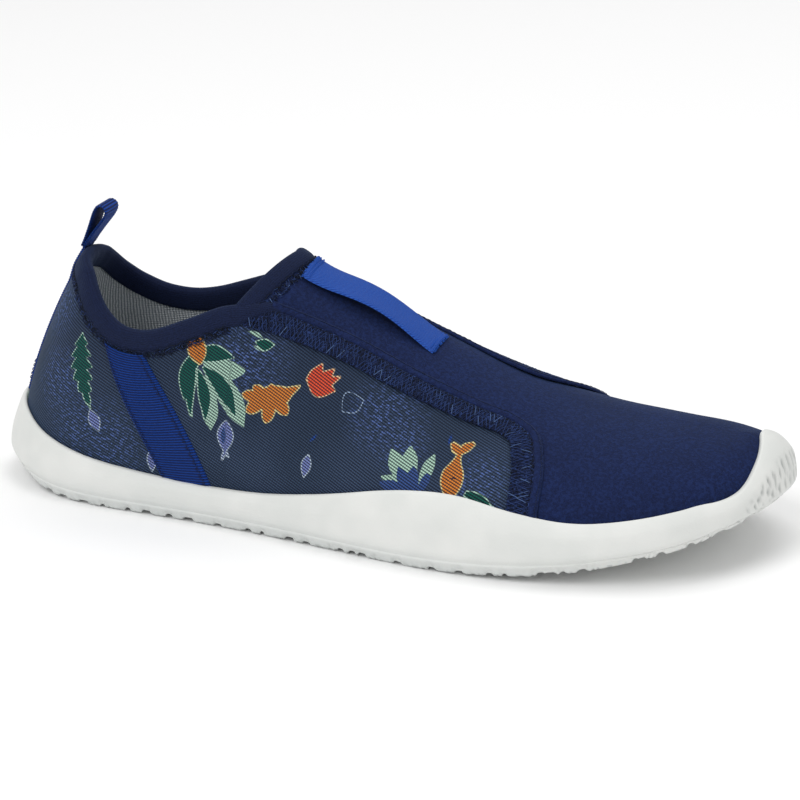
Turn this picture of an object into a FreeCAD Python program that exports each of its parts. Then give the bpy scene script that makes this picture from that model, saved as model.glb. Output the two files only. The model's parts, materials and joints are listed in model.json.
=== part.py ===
"""A slip-on water shoe for the right foot, in millimetres.

+X points to the toe, +Y to the inner (medial) side of the foot and +Z up.
The origin is on the ground, under the middle of the shoe's length.

The upper is one smooth skin over the last.  A place on it is (s, h): s counts 16 stations round the
foot (0 toe, 1..7 outer side, 8 heel, 9..15 inner side), and h goes from 0 at the feather line, where
upper and sole meet, to 1 at the ridge along the middle of the instep.  An h above 1 carries on down
the other side.  Every piece of the upper is a patch of that skin with its own thickness.
"""
import FreeCAD, Part
import math
import os

Vector = FreeCAD.Vector

# ---- driving dimensions of the last --------------------------------------------------------------
STATIONS = 16
HEEL = STATIONS // 2
# Feather line as (x, y) at stations 0..8 on the outer side, and the same on the inner side.
OUTER_FEATHER = [(131, 8), (120, -19), (96, -37), (61, -45), (20, -43), (-25, -36), (-70, -32), (-108, -25.5),
                 (-127, 0)]
INNER_FEATHER = [(131, 8), (123, 29), (98, 42), (61, 45), (20, 38), (-25, 30), (-70, 29.5), (-108, 25.5),
                 (-127, 0)]
# Ridge of the instep as (x, y, z) at stations 0..8.  Past station 5 it is open air above the ankle.
RIDGE = [(119, 10, 36), (112, 10, 35.6), (90, 9, 37), (60, 8, 42), (21, 7, 56.3), (-22, 4, 78), (-50, 1, 101),
         (-62, 0, 111), (-64, 0, 113)]
FEATHER_HEIGHT = [22, 19, 14, 11, 9, 9, 9, 10, 12]
# How full each section is: 2 is an ellipse, more is squarer, less is flatter.
FULLNESS = [2.6, 2.4, 2.1, 2.0, 2.0, 2.1, 2.1, 1.7, 1.4]
# Height at which the sole's rim ends on the upper.
RIM_HEIGHT = [35.3, 26.5, 21.2, 21.9, 23.3, 14.2, 14.4, 20.9, 27.5]

# ---- seam lines of the upper ---------------------------------------------------------------------
# Top edge of the outer side as (station, height): front corner, instep seam, tongue corner, collar.
OUTER_TOP = [(2.9, 29), (2.95, 33.5), (3.05, 37.5), (3.25, 40.5), (3.5, 43.3), (4, 50.5), (4.5, 59.5),
             (5, 67.5), (5.25, 70), (5.45, 69.5), (5.7, 65), (6, 60.3), (6.25, 60.3), (6.5, 65), (6.75, 71.5),
             (7, 76), (7.5, 78.5), (8, 78)]
# The inner side climbs nearer to the ridge, because the instep is higher there.
INNER_TOP = [(8, 78), (8.5, 75.2), (8.75, 71.5), (9, 66.5), (9.25, 62), (9.5, 58.8), (9.75, 57.7),
             (10, 59.2), (10.25, 63), (10.5, 67.3), (10.7, 70.3), (11, 69.4), (11.5, 62.3), (12, 53.8),
             (12.5, 46.7), (12.75, 43), (12.95, 38.4), (13.05, 33.8), (13.1, 28.4)]
FRONT_OUTER = OUTER_TOP[0][0]
FRONT_INNER = INNER_TOP[-1][0]
CORNER_OUTER = 5.36
CORNER_INNER = STATIONS - CORNER_OUTER
TONGUE_END = 5.17
# Stations that the instep seams pass, from the tongue to the front corner, and where they meet the sole.
OUTER_SEAM = [5.05, 4.8, 4.5, 4, 3.5, 3.25, 3.05, 2.95, 2.9]
OUTER_SEAM_FOOT = 2.88
INNER_SEAM = [10.95, 11.2, 11.5, 12, 12.4, 12.7, 12.9, 13.03, 13.1]
INNER_SEAM_FOOT = 13.12

# ---- driving dimensions of the pieces ------------------------------------------------------------
GAP = 0.12
SEAM_GAP = 0.3
PANEL_THICK = 1.7
LINING_THICK = 1.0
BINDING_WIDTH = 6.5
BINDING_PROUD = 0.7
BINDING_WRAP = 0.5
STRIP_OVER_VAMP = 1.5
STRIP_OVER_SIDE = 4.5
TRIM_LIFT = 0.25
TRIM_THICK = 0.8
STRAP_WIDTH = 13.0
STRAP_TOP_STATION = 6.21
STRAP_SLANT = 0.64
STRAP_DROP = 9.1
TAPE_WIDTH = 11.0
TAPE_STEP = (0.62, 0.78)
LABEL_LENGTH = (4.97, 4.7, 4.35, 4.02)
LABEL_H = 0.95
LABEL_WIDTH = 14.0
LABEL_THICK = 0.9
LABEL_ARCH = 3.2
LABEL_CLIMB = 1.3
LABEL_CLIMB_END = 0.3
LOOP_HEIGHT = 14.5
LOOP_AXIS_SET_IN = 0.4
LOOP_AXIS_RISE = 1.8
LOOP_LEAN = 30
# Outline of the folded webbing seen from the side: (along, half width) from its sewn foot.
LOOP_OUTSIDE = [(-1, 0), (-0.7, 0.7), (0, 1), (5, 1.6), (9, 2.4), (12.2, 2.4), (LOOP_HEIGHT, 0)]
LOOP_INSIDE = [(4.2, 0), (6.5, 0.7), (9, 1.25), (11.6, 1.25), (LOOP_HEIGHT - 1.25, 0)]
BACK_SEAM = 0.006
FOOT_H = 0.02
FOOT_CLEAR_H = 0.03
UNDER_PANEL = -(PANEL_THICK + GAP)
UNDER_LINING = UNDER_PANEL - LINING_THICK
BINDING_INSIDE = UNDER_LINING - BINDING_WRAP

# ---- driving dimensions of the stitching ---------------------------------------------------------
THREAD_RADIUS = 0.3
STITCH_PITCH = 3.4
OVER_PANEL = THREAD_RADIUS + 0.25
OVER_TRIM = TRIM_LIFT + TRIM_THICK + THREAD_RADIUS + 0.2
OVER_LABEL = LABEL_THICK + THREAD_RADIUS + 0.25
UNDER_BINDING = (-BINDING_WIDTH - 2, -BINDING_WIDTH - 0.4)
STRAP_STITCH_INSET = 1.2
STRAP_STITCHES = 9
BAR_ROW_PITCH = 1.3
BAR_STITCHES = 4

# ---- driving dimensions of the sole --------------------------------------------------------------
SOLE_WALL = 4.0
SOLE_GAP = 0.45
RIM_WALL = 1.5
SOLE_FLOOR_DROP = 1.5
BOARD_THICK = 1.2
BOARD_INSET = 0.3
FOOTBED_THICK = 3.5
FOOTBED_INSET = 4.6
SOLE_BACK = -140
SOLE_FRONT = 140
# Side view of the rim and of the tread's underside, as (x, z).  The tread is flat between the two lists.
RIM = [(SOLE_BACK, 29), (-127, 28), (-120, 26), (-108, 20.9), (-90, 16.6), (-70, 14.4), (-48, 13.3),
       (-25, 14.2), (-2, 18.2), (20, 23.3), (41, 24.9), (61, 21.9), (80, 20), (96, 21.2), (110, 23.4),
       (119, 25.2), (121.5, 28.5), (123, 33), (124, 36.4), (126, 37.2), (SOLE_FRONT, 37.4)]
TREAD_HEEL = [(SOLE_BACK, 14), (-127, 8), (-108, 1.5), (-92, 0)]
TREAD_TOE = [(34, 0), (61, 1.6), (80, 4.2), (96, 7.6), (112, 11.4), (125, 15.6), (SOLE_FRONT, 21)]
# Side view of the feather line: x and the station whose feather height holds there.
FEATHER_VIEW = [(SOLE_BACK, 8), (-127, 8), (-108, 7), (-70, 6), (-25, 5), (20, 4), (61, 3), (96, 2), (120, 1),
                (131, 0), (SOLE_FRONT, 0)]
GROOVE_DEPTH = 1.8
GROOVE_WIDTH = 2.4
GROOVE_PITCH = 11.0
GROOVES = 24
FIRST_GROOVE_X = -126
LONG_GROOVES = (-14.0, 11.0)


# ---- curves --------------------------------------------------------------------------------------
def loop(values):
    """A smooth closed curve through values at 0, 1, 2 ... that repeats after the last one."""
    count = len(values)
    slopes = [0.0] * count
    for _ in range(40):
        for i in range(count):
            rise = values[(i + 1) % count] - values[i - 1]
            slopes[i] = (3 * rise - slopes[i - 1] - slopes[(i + 1) % count]) / 4

    def at(place):
        i = math.floor(place)
        t = place - i
        a = i % count
        b = (i + 1) % count
        start = values[a] * (1 + 2 * t) * (1 - t) ** 2 + slopes[a] * t * (1 - t) ** 2
        return start + values[b] * t * t * (3 - 2 * t) - slopes[b] * t * t * (1 - t)

    return at


def both_sides(values):
    """Values at stations 0..8, repeated on the inner side."""
    return loop(values + values[-2:0:-1])


def line_through(points):
    """A smooth open curve through (place, value) points, flat-ended, held outside its range."""
    places = [p[0] for p in points]
    values = [p[1] for p in points]
    last = len(points) - 1
    slopes = []
    for i in range(len(points)):
        a = max(i - 1, 0)
        b = min(i + 1, last)
        slopes.append((values[b] - values[a]) / (places[b] - places[a]))

    def at(place):
        place = min(max(place, places[0]), places[last])
        i = 0
        while i < last - 1 and place > places[i + 1]:
            i += 1
        span = places[i + 1] - places[i]
        t = (place - places[i]) / span
        start = values[i] * (1 + 2 * t) * (1 - t) ** 2 + slopes[i] * span * t * (1 - t) ** 2
        return start + values[i + 1] * t * t * (3 - 2 * t) - slopes[i + 1] * span * t * t * (1 - t)

    return at


def spread(start, end, count):
    return [start + (end - start) * i / (count - 1) for i in range(count)]


FEATHER = OUTER_FEATHER + INNER_FEATHER[-2:0:-1]
feather_x = loop([p[0] for p in FEATHER])
feather_y = loop([p[1] for p in FEATHER])
feather_z = both_sides(FEATHER_HEIGHT)
ridge_x = both_sides([p[0] for p in RIDGE])
ridge_y = both_sides([p[1] for p in RIDGE])
ridge_z = both_sides([p[2] for p in RIDGE])
fullness = both_sides(FULLNESS)


# ---- the skin of the upper -----------------------------------------------------------------------
def bare(s, h):
    """The outer surface of the upper at (s, h)."""
    if h > 1:
        s = STATIONS - s
        h = 2 - h
    turn = h * math.pi / 2
    inward = 1 - max(math.cos(turn), 0) ** (2 / fullness(s))
    rise = math.sin(turn) ** (2 / fullness(s))
    x = feather_x(s) + (ridge_x(s) - feather_x(s)) * inward
    y = feather_y(s) + (ridge_y(s) - feather_y(s)) * inward
    z = feather_z(s) + (ridge_z(s) - feather_z(s)) * rise
    return Vector(x, y, z)


def facing(s, h):
    """Unit vector out of the skin at (s, h)."""
    step = 0.01
    along = bare(s + step, h) - bare(s - step, h)
    up = bare(s, h + step) - bare(s, max(h - step, 0))
    out = up.cross(along)
    if out.Length < 1e-6:
        return Vector(0, 0, 1)
    return out.normalize()


def skin(s, h, lift=0.0):
    """The point lift millimetres outside the skin at (s, h); a negative lift is inside."""
    return bare(s, h) + facing(s, h) * lift


def move(s, h, shift):
    """The (s, h) reached from (s, h) by a short step shift, a vector in millimetres."""
    step = 0.01
    along = (bare(s + step, h) - bare(s - step, h)) * (0.5 / step)
    up = (bare(s, h + step) - bare(s, h - step)) * (0.5 / step)
    aa = along.dot(along)
    ab = along.dot(up)
    bb = up.dot(up)
    sa = shift.dot(along)
    sb = shift.dot(up)
    det = aa * bb - ab * ab
    return s + (sa * bb - sb * ab) / det, h + (sb * aa - sa * ab) / det


def beside(path, w, shift):
    """The (s, h) a distance shift to the right of path(w), measured across the skin."""
    step = 0.004
    s, h = path(w)
    ahead = bare(*path(w + step)) - bare(*path(w - step))
    right = ahead.cross(facing(s, h)).normalize()
    return move(s, h, right * shift)


def height_to_h(s, z):
    share = (z - feather_z(s)) / (ridge_z(s) - feather_z(s))
    share = min(max(share, 0.0), 1.0)
    return math.asin(share ** (fullness(s) / 2)) * 2 / math.pi


# ---- solids from patches -------------------------------------------------------------------------
def solid_between(outer_points, inner_points):
    """One closed solid between two grids of points of the same size."""
    sheets = []
    for points in (outer_points, inner_points):
        sheet = Part.BSplineSurface()
        sheet.interpolate(points)
        sheets.append(sheet)
    faces = [sheet.toShape() for sheet in sheets]
    borders = []
    for sheet in sheets:
        u_first, u_last, v_first, v_last = sheet.bounds()
        ends = [sheet.uIso(u_first), sheet.uIso(u_last), sheet.vIso(v_first), sheet.vIso(v_last)]
        borders.append([curve.toShape() for curve in ends])
    for outer_edge, inner_edge in zip(*borders):
        faces.append(Part.makeRuledSurface(outer_edge, inner_edge))
    shell = Part.makeShell(faces)
    shell.sewShape()
    solid = Part.makeSolid(shell)
    if solid.Volume < 0:
        solid.reverse()
    return solid


def layer(place, us, vs, low, high):
    """The solid over place(u, v) -> (s, h) from low to high millimetres outside the skin.

    low and high are numbers, or functions of (u, v)."""
    def grid(lift):
        level = lift if callable(lift) else (lambda u, v: lift)
        return [[skin(*place(u, v), level(u, v)) for v in vs] for u in us]

    return solid_between(grid(high), grid(low))


def band(path, ends, sides, low, high, count, across=4):
    """A strip along path(w) -> (s, h), between two distances in millimetres to its right."""
    def place(w, shift):
        return beside(path, w, shift)

    return layer(place, spread(ends[0], ends[1], count), spread(sides[0], sides[1], across), low, high)


# ---- seam paths, each a function of w -> (s, h) --------------------------------------------------
top_z = line_through(OUTER_TOP + INNER_TOP[1:])
rim_height = both_sides(RIM_HEIGHT)


def rim_h(s):
    return height_to_h(s, rim_height(s))


def top_h(s):
    return height_to_h(s, top_z(s))


def collar_path(w):
    """Top edge of the collar, from the tongue's outer corner round the heel to the inner one."""
    return w, top_h(w)


def tongue_path(w):
    """Edge of the tongue, from its inner corner (w=0) over the ridge to its outer corner (w=1)."""
    outer = top_h(CORNER_OUTER)
    inner = top_h(CORNER_INNER)
    h = (2 - inner) + (outer - 2 + inner) * w
    share = min(abs(h - 1) / (1 - outer), 1.2)
    return TONGUE_END + (CORNER_OUTER - TONGUE_END) * share ** 2, h


def measured(places):
    """A path through chosen (s, h) places, with w = 0 .. 1 in step with the distance travelled."""
    travelled = [0.0]
    for here, there in zip(places, places[1:]):
        travelled.append(travelled[-1] + (bare(*there) - bare(*here)).Length)
    shares = [length / travelled[-1] for length in travelled]
    s_line = line_through(list(zip(shares, [p[0] for p in places])))
    h_line = line_through(list(zip(shares, [p[1] for p in places])))
    return lambda w: (s_line(w), h_line(w))


def seam_path(stations, foot_station):
    """The instep seam: along the top of a side panel, round its front corner and down to the sole."""
    places = [(s, top_h(s)) for s in stations]
    places.append((foot_station, rim_h(foot_station) + FOOT_CLEAR_H))
    return measured(places)


# ---- pieces of the upper -------------------------------------------------------------------------
def below_collar(drop):
    """The h at each station of the line drop millimetres below the collar's edge."""
    ends = (CORNER_OUTER + 0.03, CORNER_INNER - 0.03)
    return line_through(sorted(beside(collar_path, w, -drop) for w in spread(*ends, 64)))


under_binding = below_collar(BINDING_WIDTH + SEAM_GAP)
strap_top = below_collar(STRAP_DROP)


def panel_top(s):
    """Top edge of a side panel: just under the seam line in front, under the binding round the ankle."""
    from_corner = min(s, STATIONS - s) - CORNER_OUTER
    share = min(max((from_corner + 0.17) / 0.11, 0), 1)
    share = share * share * (3 - 2 * share)
    in_front = height_to_h(s, top_z(s) - SEAM_GAP)
    return in_front + (under_binding(s) - in_front) * share


def side_panel(stations, low, high, rows=14):
    """A side of the upper from the feather line to its top edge."""
    def place(s, share):
        return s, FOOT_H + (panel_top(s) - FOOT_H) * share

    return layer(place, stations, spread(0, 1, rows), low, high)


OUTER_STATIONS = spread(FRONT_OUTER, 3.2, 6) + spread(3.3, 5.14, 14) + spread(5.17, 5.35, 7)
OUTER_STATIONS += spread(5.42, HEEL - BACK_SEAM, 30)
INNER_STATIONS = spread(HEEL + BACK_SEAM, 10.58, 30) + spread(10.65, 10.83, 7)
INNER_STATIONS += spread(10.86, 12.7, 14) + spread(12.8, FRONT_INNER, 6)


def vamp_row(u, v):
    """Place on the neoprene front: u 0 at the toe .. 1 at the tongue, v -1 outer .. 1 inner side."""
    side_station = 0.9 + 4.4 * u
    reach = abs(v)
    toe = min(u / 0.2, 1.0)
    middle_station = 0.0 if u <= 0.2 else 5.3 * ((u - 0.2) / 0.8) ** 0.8
    middle_h = FOOT_H + (1 - FOOT_H) * math.sin(toe * math.pi / 2)
    power = 2 - toe
    s = middle_station + (side_station - middle_station) * reach
    h = middle_h + (FOOT_H - middle_h) * reach ** power
    return (s, h) if v <= 0 else (STATIONS - s, h)


def side_window(stations):
    """A thick cutter a little larger than the part of a side panel that it is given stations for."""
    clear_s, clear_h = 0.016, 0.008
    middle = stations[len(stations) // 2]
    widened = [s - clear_s if s < middle else s + clear_s for s in stations]
    return layer(lambda s, share: (s, (panel_top(s) + clear_h) * share), widened, spread(0, 1, 14),
                 -PANEL_THICK - 2, 2)


def side_windows():
    outer = [s for s in OUTER_STATIONS if s < 6]
    inner = [s for s in INNER_STATIONS if s > 10]
    return side_window(outer), side_window(inner)


def build_vamp():
    blank = layer(vamp_row, spread(0, 1, 31), spread(-1, 1, 33), -PANEL_THICK, 0)
    ankle = band(tongue_path, (-0.12, 1.12), (-BINDING_WIDTH - SEAM_GAP, 25), -PANEL_THICK - 2, 2, 24, 6)
    pieces = blank.cut(list(side_windows()) + [ankle]).Solids
    return max(pieces, key=lambda piece: piece.Volume)


def build_collar_binding():
    return band(collar_path, (CORNER_OUTER + 0.03, CORNER_INNER - 0.03), (-BINDING_WIDTH, 0),
                BINDING_INSIDE, BINDING_PROUD, 44)


def build_tongue_binding():
    whole = band(tongue_path, (0.03, 0.97), (-BINDING_WIDTH, 0), -PANEL_THICK - BINDING_WRAP, BINDING_PROUD, 20)
    return whole.cut(list(side_windows()))


def build_strip(path, sides):
    return band(path, (0, 1), sides, TRIM_LIFT, TRIM_LIFT + TRIM_THICK, 40)


def strap_place(down, across, mirror):
    """Place on a side strap: down 0 at the collar .. 1 at the sole, across in millimetres."""
    millimetres_per_station = 33
    s = STRAP_TOP_STATION - STRAP_SLANT * down + across / millimetres_per_station
    if mirror:
        s = STATIONS - s
    high = strap_top(s)
    low = rim_h(s) + FOOT_CLEAR_H
    return s, high + (low - high) * down


def build_side_strap(mirror):
    """Woven strap slanting from the collar down to the sole; ends cut level."""
    half = STRAP_WIDTH / 2
    return layer(lambda down, across: strap_place(down, across, mirror),
                 spread(0, 1, 14), spread(-half, half, 6), TRIM_LIFT, TRIM_LIFT + TRIM_THICK)


def tape_lift(up):
    """The heel tape steps up from the side panels on to the collar binding."""
    share = min(max((up - TAPE_STEP[0]) / (TAPE_STEP[1] - TAPE_STEP[0]), 0), 1)
    return TRIM_LIFT + BINDING_PROUD * share


def build_heel_tape():
    millimetres_per_station = 30
    half = TAPE_WIDTH / 2 / millimetres_per_station

    def place(up, across):
        low = rim_h(HEEL) + FOOT_CLEAR_H
        return HEEL + across, low + (top_h(HEEL + across) - low) * up

    return layer(place, spread(0, 1, 24), spread(-half, half, 7),
                 lambda up, across: tape_lift(up), lambda up, across: tape_lift(up) + TRIM_THICK)


label_path = measured([(s, LABEL_H) for s in LABEL_LENGTH])


def label_lift(w):
    """Height of the label's underside: up on the binding behind, and arched between its sewn ends."""
    climb = LABEL_CLIMB * max(1 - w / LABEL_CLIMB_END, 0) ** 2
    return GAP + max(climb, GAP) + LABEL_ARCH * math.sin(math.pi * w) ** 1.5


def build_label():
    """Woven ribbon sewn down at both ends and arched off the instep between them."""
    half = LABEL_WIDTH / 2
    return band(label_path, (0, 1), (-half, half), lambda w, side: label_lift(w),
                lambda w, side: label_lift(w) + LABEL_THICK, 24, 7)


def loop_axis():
    tape_middle = tape_lift(1) + TRIM_THICK / 2
    return skin(HEEL, top_h(HEEL), tape_middle) + Vector(LOOP_AXIS_SET_IN, 0, LOOP_AXIS_RISE)


def build_pull_loop():
    wires = []
    for half in (LOOP_OUTSIDE, LOOP_INSIDE):
        points = half + [(p, -q) for p, q in half[-2:0:-1]]
        curve = Part.BSplineCurve()
        curve.interpolate(Points=[Vector(q, -TAPE_WIDTH / 2, p) for p, q in points], PeriodicFlag=True)
        wires.append(Part.Wire(curve.toShape()))
    outside, inside = (Part.Face(wire).extrude(Vector(0, TAPE_WIDTH, 0)) for wire in wires)
    webbing = outside.cut(inside)
    webbing.rotate(Vector(0, 0, 0), Vector(0, 1, 0), LOOP_LEAN)
    webbing.translate(loop_axis())
    return webbing


# ---- sole ----------------------------------------------------------------------------------------
def feather_normal(s):
    """Unit vector out of the feather line, level with the ground."""
    step = 0.01
    along = Vector(feather_x(s + step) - feather_x(s - step), feather_y(s + step) - feather_y(s - step), 0)
    return Vector(0, 0, 1).cross(along).normalize()


def ring(place):
    """A closed wire through place(s) all round the foot."""
    curve = Part.BSplineCurve()
    curve.interpolate(Points=[place(s / 4) for s in range(4 * STATIONS)], PeriodicFlag=True)
    return Part.Wire(curve.toShape())


def offset_ring(outward, height):
    """A closed wire outward of the feather line; height is a number or a function of the station."""
    def place(s):
        level = height(s) if callable(height) else height
        return Vector(feather_x(s), feather_y(s), 0) + feather_normal(s) * outward + Vector(0, 0, level)

    return ring(place)


def skin_ring(share, lift):
    """A closed wire lift outside the skin, at a share of the way from feather line to sole rim."""
    return ring(lambda s: skin(s, rim_h(s) * share, lift))


def top_ring(share, lift, height):
    """skin_ring carried straight up to one level, to close a blank above the rim."""
    def place(s):
        point = skin(s, rim_h(s) * share, lift)
        return Vector(point.x, point.y, height)

    return ring(place)


tread_toe_z = line_through(TREAD_TOE)
tread_heel_z = line_through(TREAD_HEEL)


def tread_z(x):
    """Height of the tread's underside: flat under the foot, rising at toe and heel."""
    if x < TREAD_HEEL[-1][0]:
        return tread_heel_z(x)
    if x > TREAD_TOE[0][0]:
        return tread_toe_z(x)
    return 0.0


def side_slab(bottom_edges, top_curve):
    """Everything between two side-view outlines, right across the shoe."""
    half_width = 80
    first = bottom_edges[0].Vertexes[0].Point
    last = bottom_edges[-1].Vertexes[-1].Point
    top_first = top_curve.Vertexes[0].Point
    top_last = top_curve.Vertexes[-1].Point
    edges = bottom_edges + [top_curve, Part.makeLine(first, top_first), Part.makeLine(last, top_last)]
    outline = Part.Wire(Part.__sortEdges__(edges))
    slab = Part.Face(outline).extrude(Vector(0, 2 * half_width, 0))
    slab.translate(Vector(0, -half_width, 0))
    return slab


def side_curve(points):
    curve = Part.BSplineCurve()
    curve.interpolate(Points=[Vector(x, 0, z) for x, z in points])
    return curve.toShape()


def tread_edges():
    flat = Part.makeLine(Vector(TREAD_HEEL[-1][0], 0, 0), Vector(TREAD_TOE[0][0], 0, 0))
    return [side_curve(TREAD_HEEL), flat, side_curve(TREAD_TOE)]


def feather_level(drop):
    """Side-view curve that follows the feather line's height, drop millimetres lower."""
    return side_curve([(x, FEATHER_HEIGHT[s] - drop) for x, s in FEATHER_VIEW])


def level_line(z):
    return Part.makeLine(Vector(SOLE_BACK, 0, z), Vector(SOLE_FRONT, 0, z))


def tread_level(s):
    return tread_z(feather_x(s))


def half_way_up(s):
    return (tread_level(s) + feather_z(s)) / 2


def build_outsole():
    """The sole's cup: a flared blank cut to its side view, less the room for the upper."""
    above_all = 50
    rings = [offset_ring(-0.5, -8), offset_ring(1.2, tread_level), offset_ring(3.4, half_way_up),
             offset_ring(SOLE_WALL, feather_z), skin_ring(0.6, 2.7), skin_ring(1.0, RIM_WALL + 0.3),
             skin_ring(1.1, RIM_WALL), top_ring(1.1, RIM_WALL, above_all)]
    blank = Part.makeLoft(rings, True, True)
    blank = blank.common(side_slab(tread_edges(), side_curve(RIM)))
    rings = [offset_ring(SOLE_GAP, -9), offset_ring(SOLE_GAP, feather_z)]
    rings += [skin_ring(share, SOLE_GAP) for share in (0.3, 0.6, 0.85, 1.0, 1.12)]
    hollow = Part.makeLoft(rings + [top_ring(1.12, SOLE_GAP, above_all + 2)], True, True)
    foot_room = hollow.common(side_slab([feather_level(SOLE_FLOOR_DROP)], level_line(above_all + 10)))
    return blank.cut(foot_room)


def groove_box(length_x, length_y):
    """A groove cutter centred on the origin, its floor GROOVE_DEPTH up."""
    box = Part.makeBox(length_x, length_y, 3 * GROOVE_DEPTH)
    box.translate(Vector(-length_x / 2, -length_y / 2, -2 * GROOVE_DEPTH))
    return box


def tread_grooves():
    """Transverse and lengthwise grooves that leave rows of small lugs under the foot."""
    grooves = []
    for k in range(GROOVES):
        x = FIRST_GROOVE_X + k * GROOVE_PITCH + 1.2 * math.sin(2.1 * k)
        groove = groove_box(GROOVE_WIDTH, 140)
        groove.rotate(Vector(0, 0, 0), Vector(0, 0, 1), 7 * math.sin(1.7 * k))
        groove.translate(Vector(x, 0, tread_z(x)))
        grooves.append(groove)
    flat_back, flat_front = TREAD_HEEL[-1][0], TREAD_TOE[0][0]
    for y in LONG_GROOVES:
        groove = groove_box(flat_front - flat_back, GROOVE_WIDTH)
        groove.translate(Vector((flat_back + flat_front) / 2, y, 0))
        grooves.append(groove)
    return grooves


def inner_slab(inset, low_drop, high_drop):
    """A sheet shaped like the foot, between two levels below the feather line."""
    outline = Part.Face(offset_ring(-inset, 0)).extrude(Vector(0, 0, 60))
    return outline.common(side_slab([feather_level(low_drop)], feather_level(high_drop)))


# ---- stitching -----------------------------------------------------------------------------------
def thread(start, end):
    run = end - start
    return Part.makeCylinder(THREAD_RADIUS, run.Length, start, run)


def stitch_row(path, ends, sides, lift, pitch):
    """Slanting stitches along a path, each crossing from one side distance to the other."""
    samples = spread(ends[0], ends[1], 40)
    length = sum((bare(*path(b)) - bare(*path(a))).Length for a, b in zip(samples, samples[1:]))
    count = int(length / pitch)
    stitches = []
    for k in range(count):
        points = []
        for share, shift in ((0.15, sides[0]), (0.85, sides[1])):
            w = ends[0] + (ends[1] - ends[0]) * (k + share) / count
            points.append(skin(*beside(path, w, shift), lift))
        stitches.append(thread(*points))
    return Part.makeCompound(stitches)


def strap_edges(mirror):
    """Two rows of small stitches down the edges of a side strap."""
    stitches = []
    for side in (-1, 1):
        across = side * (STRAP_WIDTH / 2 - STRAP_STITCH_INSET)
        for k in range(STRAP_STITCHES):
            points = []
            for share in (0.3, 0.8):
                s, h = strap_place((k + share) / STRAP_STITCHES, across, mirror)
                points.append(skin(s, h, OVER_TRIM))
            stitches.append(thread(*points))
    return Part.makeCompound(stitches)


def bar_tack(path, w, half_width, lift):
    """Three rows of small stitches across a ribbon that follows path, centred on path(w)."""
    stitches = []
    for row in (-1, 0, 1):
        for k in range(BAR_STITCHES):
            points = []
            for share in (0.15, 0.85):
                across = half_width * (2 * (k + share) / BAR_STITCHES - 1)
                s, h = beside(path, w, across)
                ahead = (bare(*path(w + 0.01)) - bare(*path(w - 0.01))).normalize()
                points.append(skin(*move(s, h, ahead * (row * BAR_ROW_PITCH)), lift))
            stitches.append(thread(*points))
    return stitches


def save(name, shape):
    if shape.ShapeType == "Compound" and len(shape.Solids) == 1:
        shape = shape.Solids[0]
    shape.exportStep(os.path.join("parts", name + ".step"))
    print(name, len(shape.Solids), "valid" if shape.isValid() else "INVALID", round(shape.Volume))


def main():
    os.makedirs("parts", exist_ok=True)
    outer_seam = seam_path(OUTER_SEAM, OUTER_SEAM_FOOT)
    inner_seam = seam_path(INNER_SEAM, INNER_SEAM_FOOT)

    save("outsole", build_outsole().cut(tread_grooves()))
    save("strobel_board", inner_slab(BOARD_INSET, BOARD_THICK, 0))
    save("footbed", inner_slab(FOOTBED_INSET, -GAP, -GAP - FOOTBED_THICK))
    save("vamp", build_vamp())
    save("quarter_outer", side_panel(OUTER_STATIONS, -PANEL_THICK, 0))
    save("quarter_inner", side_panel(INNER_STATIONS, -PANEL_THICK, 0))
    save("lining_outer", side_panel(OUTER_STATIONS, UNDER_LINING, UNDER_PANEL))
    save("lining_inner", side_panel(INNER_STATIONS, UNDER_LINING, UNDER_PANEL))
    save("collar_binding", build_collar_binding())
    save("tongue_binding", build_tongue_binding())
    save("edge_strip_outer", build_strip(outer_seam, (-STRIP_OVER_VAMP, STRIP_OVER_SIDE)))
    save("edge_strip_inner", build_strip(inner_seam, (-STRIP_OVER_SIDE, STRIP_OVER_VAMP)))
    save("side_strap_outer", build_side_strap(False))
    save("side_strap_inner", build_side_strap(True))
    save("heel_tape", build_heel_tape())
    save("heel_pull_loop", build_pull_loop())
    save("tongue_label", build_label())

    rows = [stitch_row(collar_path, ends, UNDER_BINDING, OVER_PANEL, STITCH_PITCH)
            for ends in ((5.5, 7.75), (8.25, 10.5))]
    save("collar_stitching", Part.makeCompound(rows))
    save("tongue_stitching", stitch_row(tongue_path, (0.2, 0.5), UNDER_BINDING, OVER_PANEL, STITCH_PITCH))
    seam_ends = (0.03, 0.96)
    save("seam_stitching_outer", stitch_row(outer_seam, seam_ends, (0.2, 3.6), OVER_TRIM, STITCH_PITCH))
    save("seam_stitching_inner", stitch_row(inner_seam, seam_ends, (-0.2, -3.6), OVER_TRIM, STITCH_PITCH))
    save("strap_stitching_outer", strap_edges(False))
    save("strap_stitching_inner", strap_edges(True))
    bars = []
    for w in (0.06, 0.94):
        bars += bar_tack(label_path, w, LABEL_WIDTH / 2 - 1.5, label_lift(w) + OVER_LABEL + GAP)
    save("label_stitching", Part.makeCompound(bars))
    tape_path = measured([(HEEL, height_to_h(HEEL, z)) for z in (30, 35, 40, 45)])
    save("heel_tape_stitching", Part.makeCompound(bar_tack(tape_path, 0.3, 4.0, OVER_TRIM)))


main()
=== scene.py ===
"""Looks of a slip-on water shoe for the right foot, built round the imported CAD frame.

The upper is one smooth skin, the same as in the CAD source.  A place on it is (s, h): s counts 16
stations round the foot (0 toe, 1..7 outer side, 8 heel, 9..15 inner side), h goes from 0 at the
feather line to 1 at the ridge of the instep, and past 1 down the other side.  Lengths here are in
millimetres until a mesh is made, in metres.
"""
import json
import math

import bmesh
import bpy
import numpy as np
from mathutils import Matrix, Vector


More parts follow.
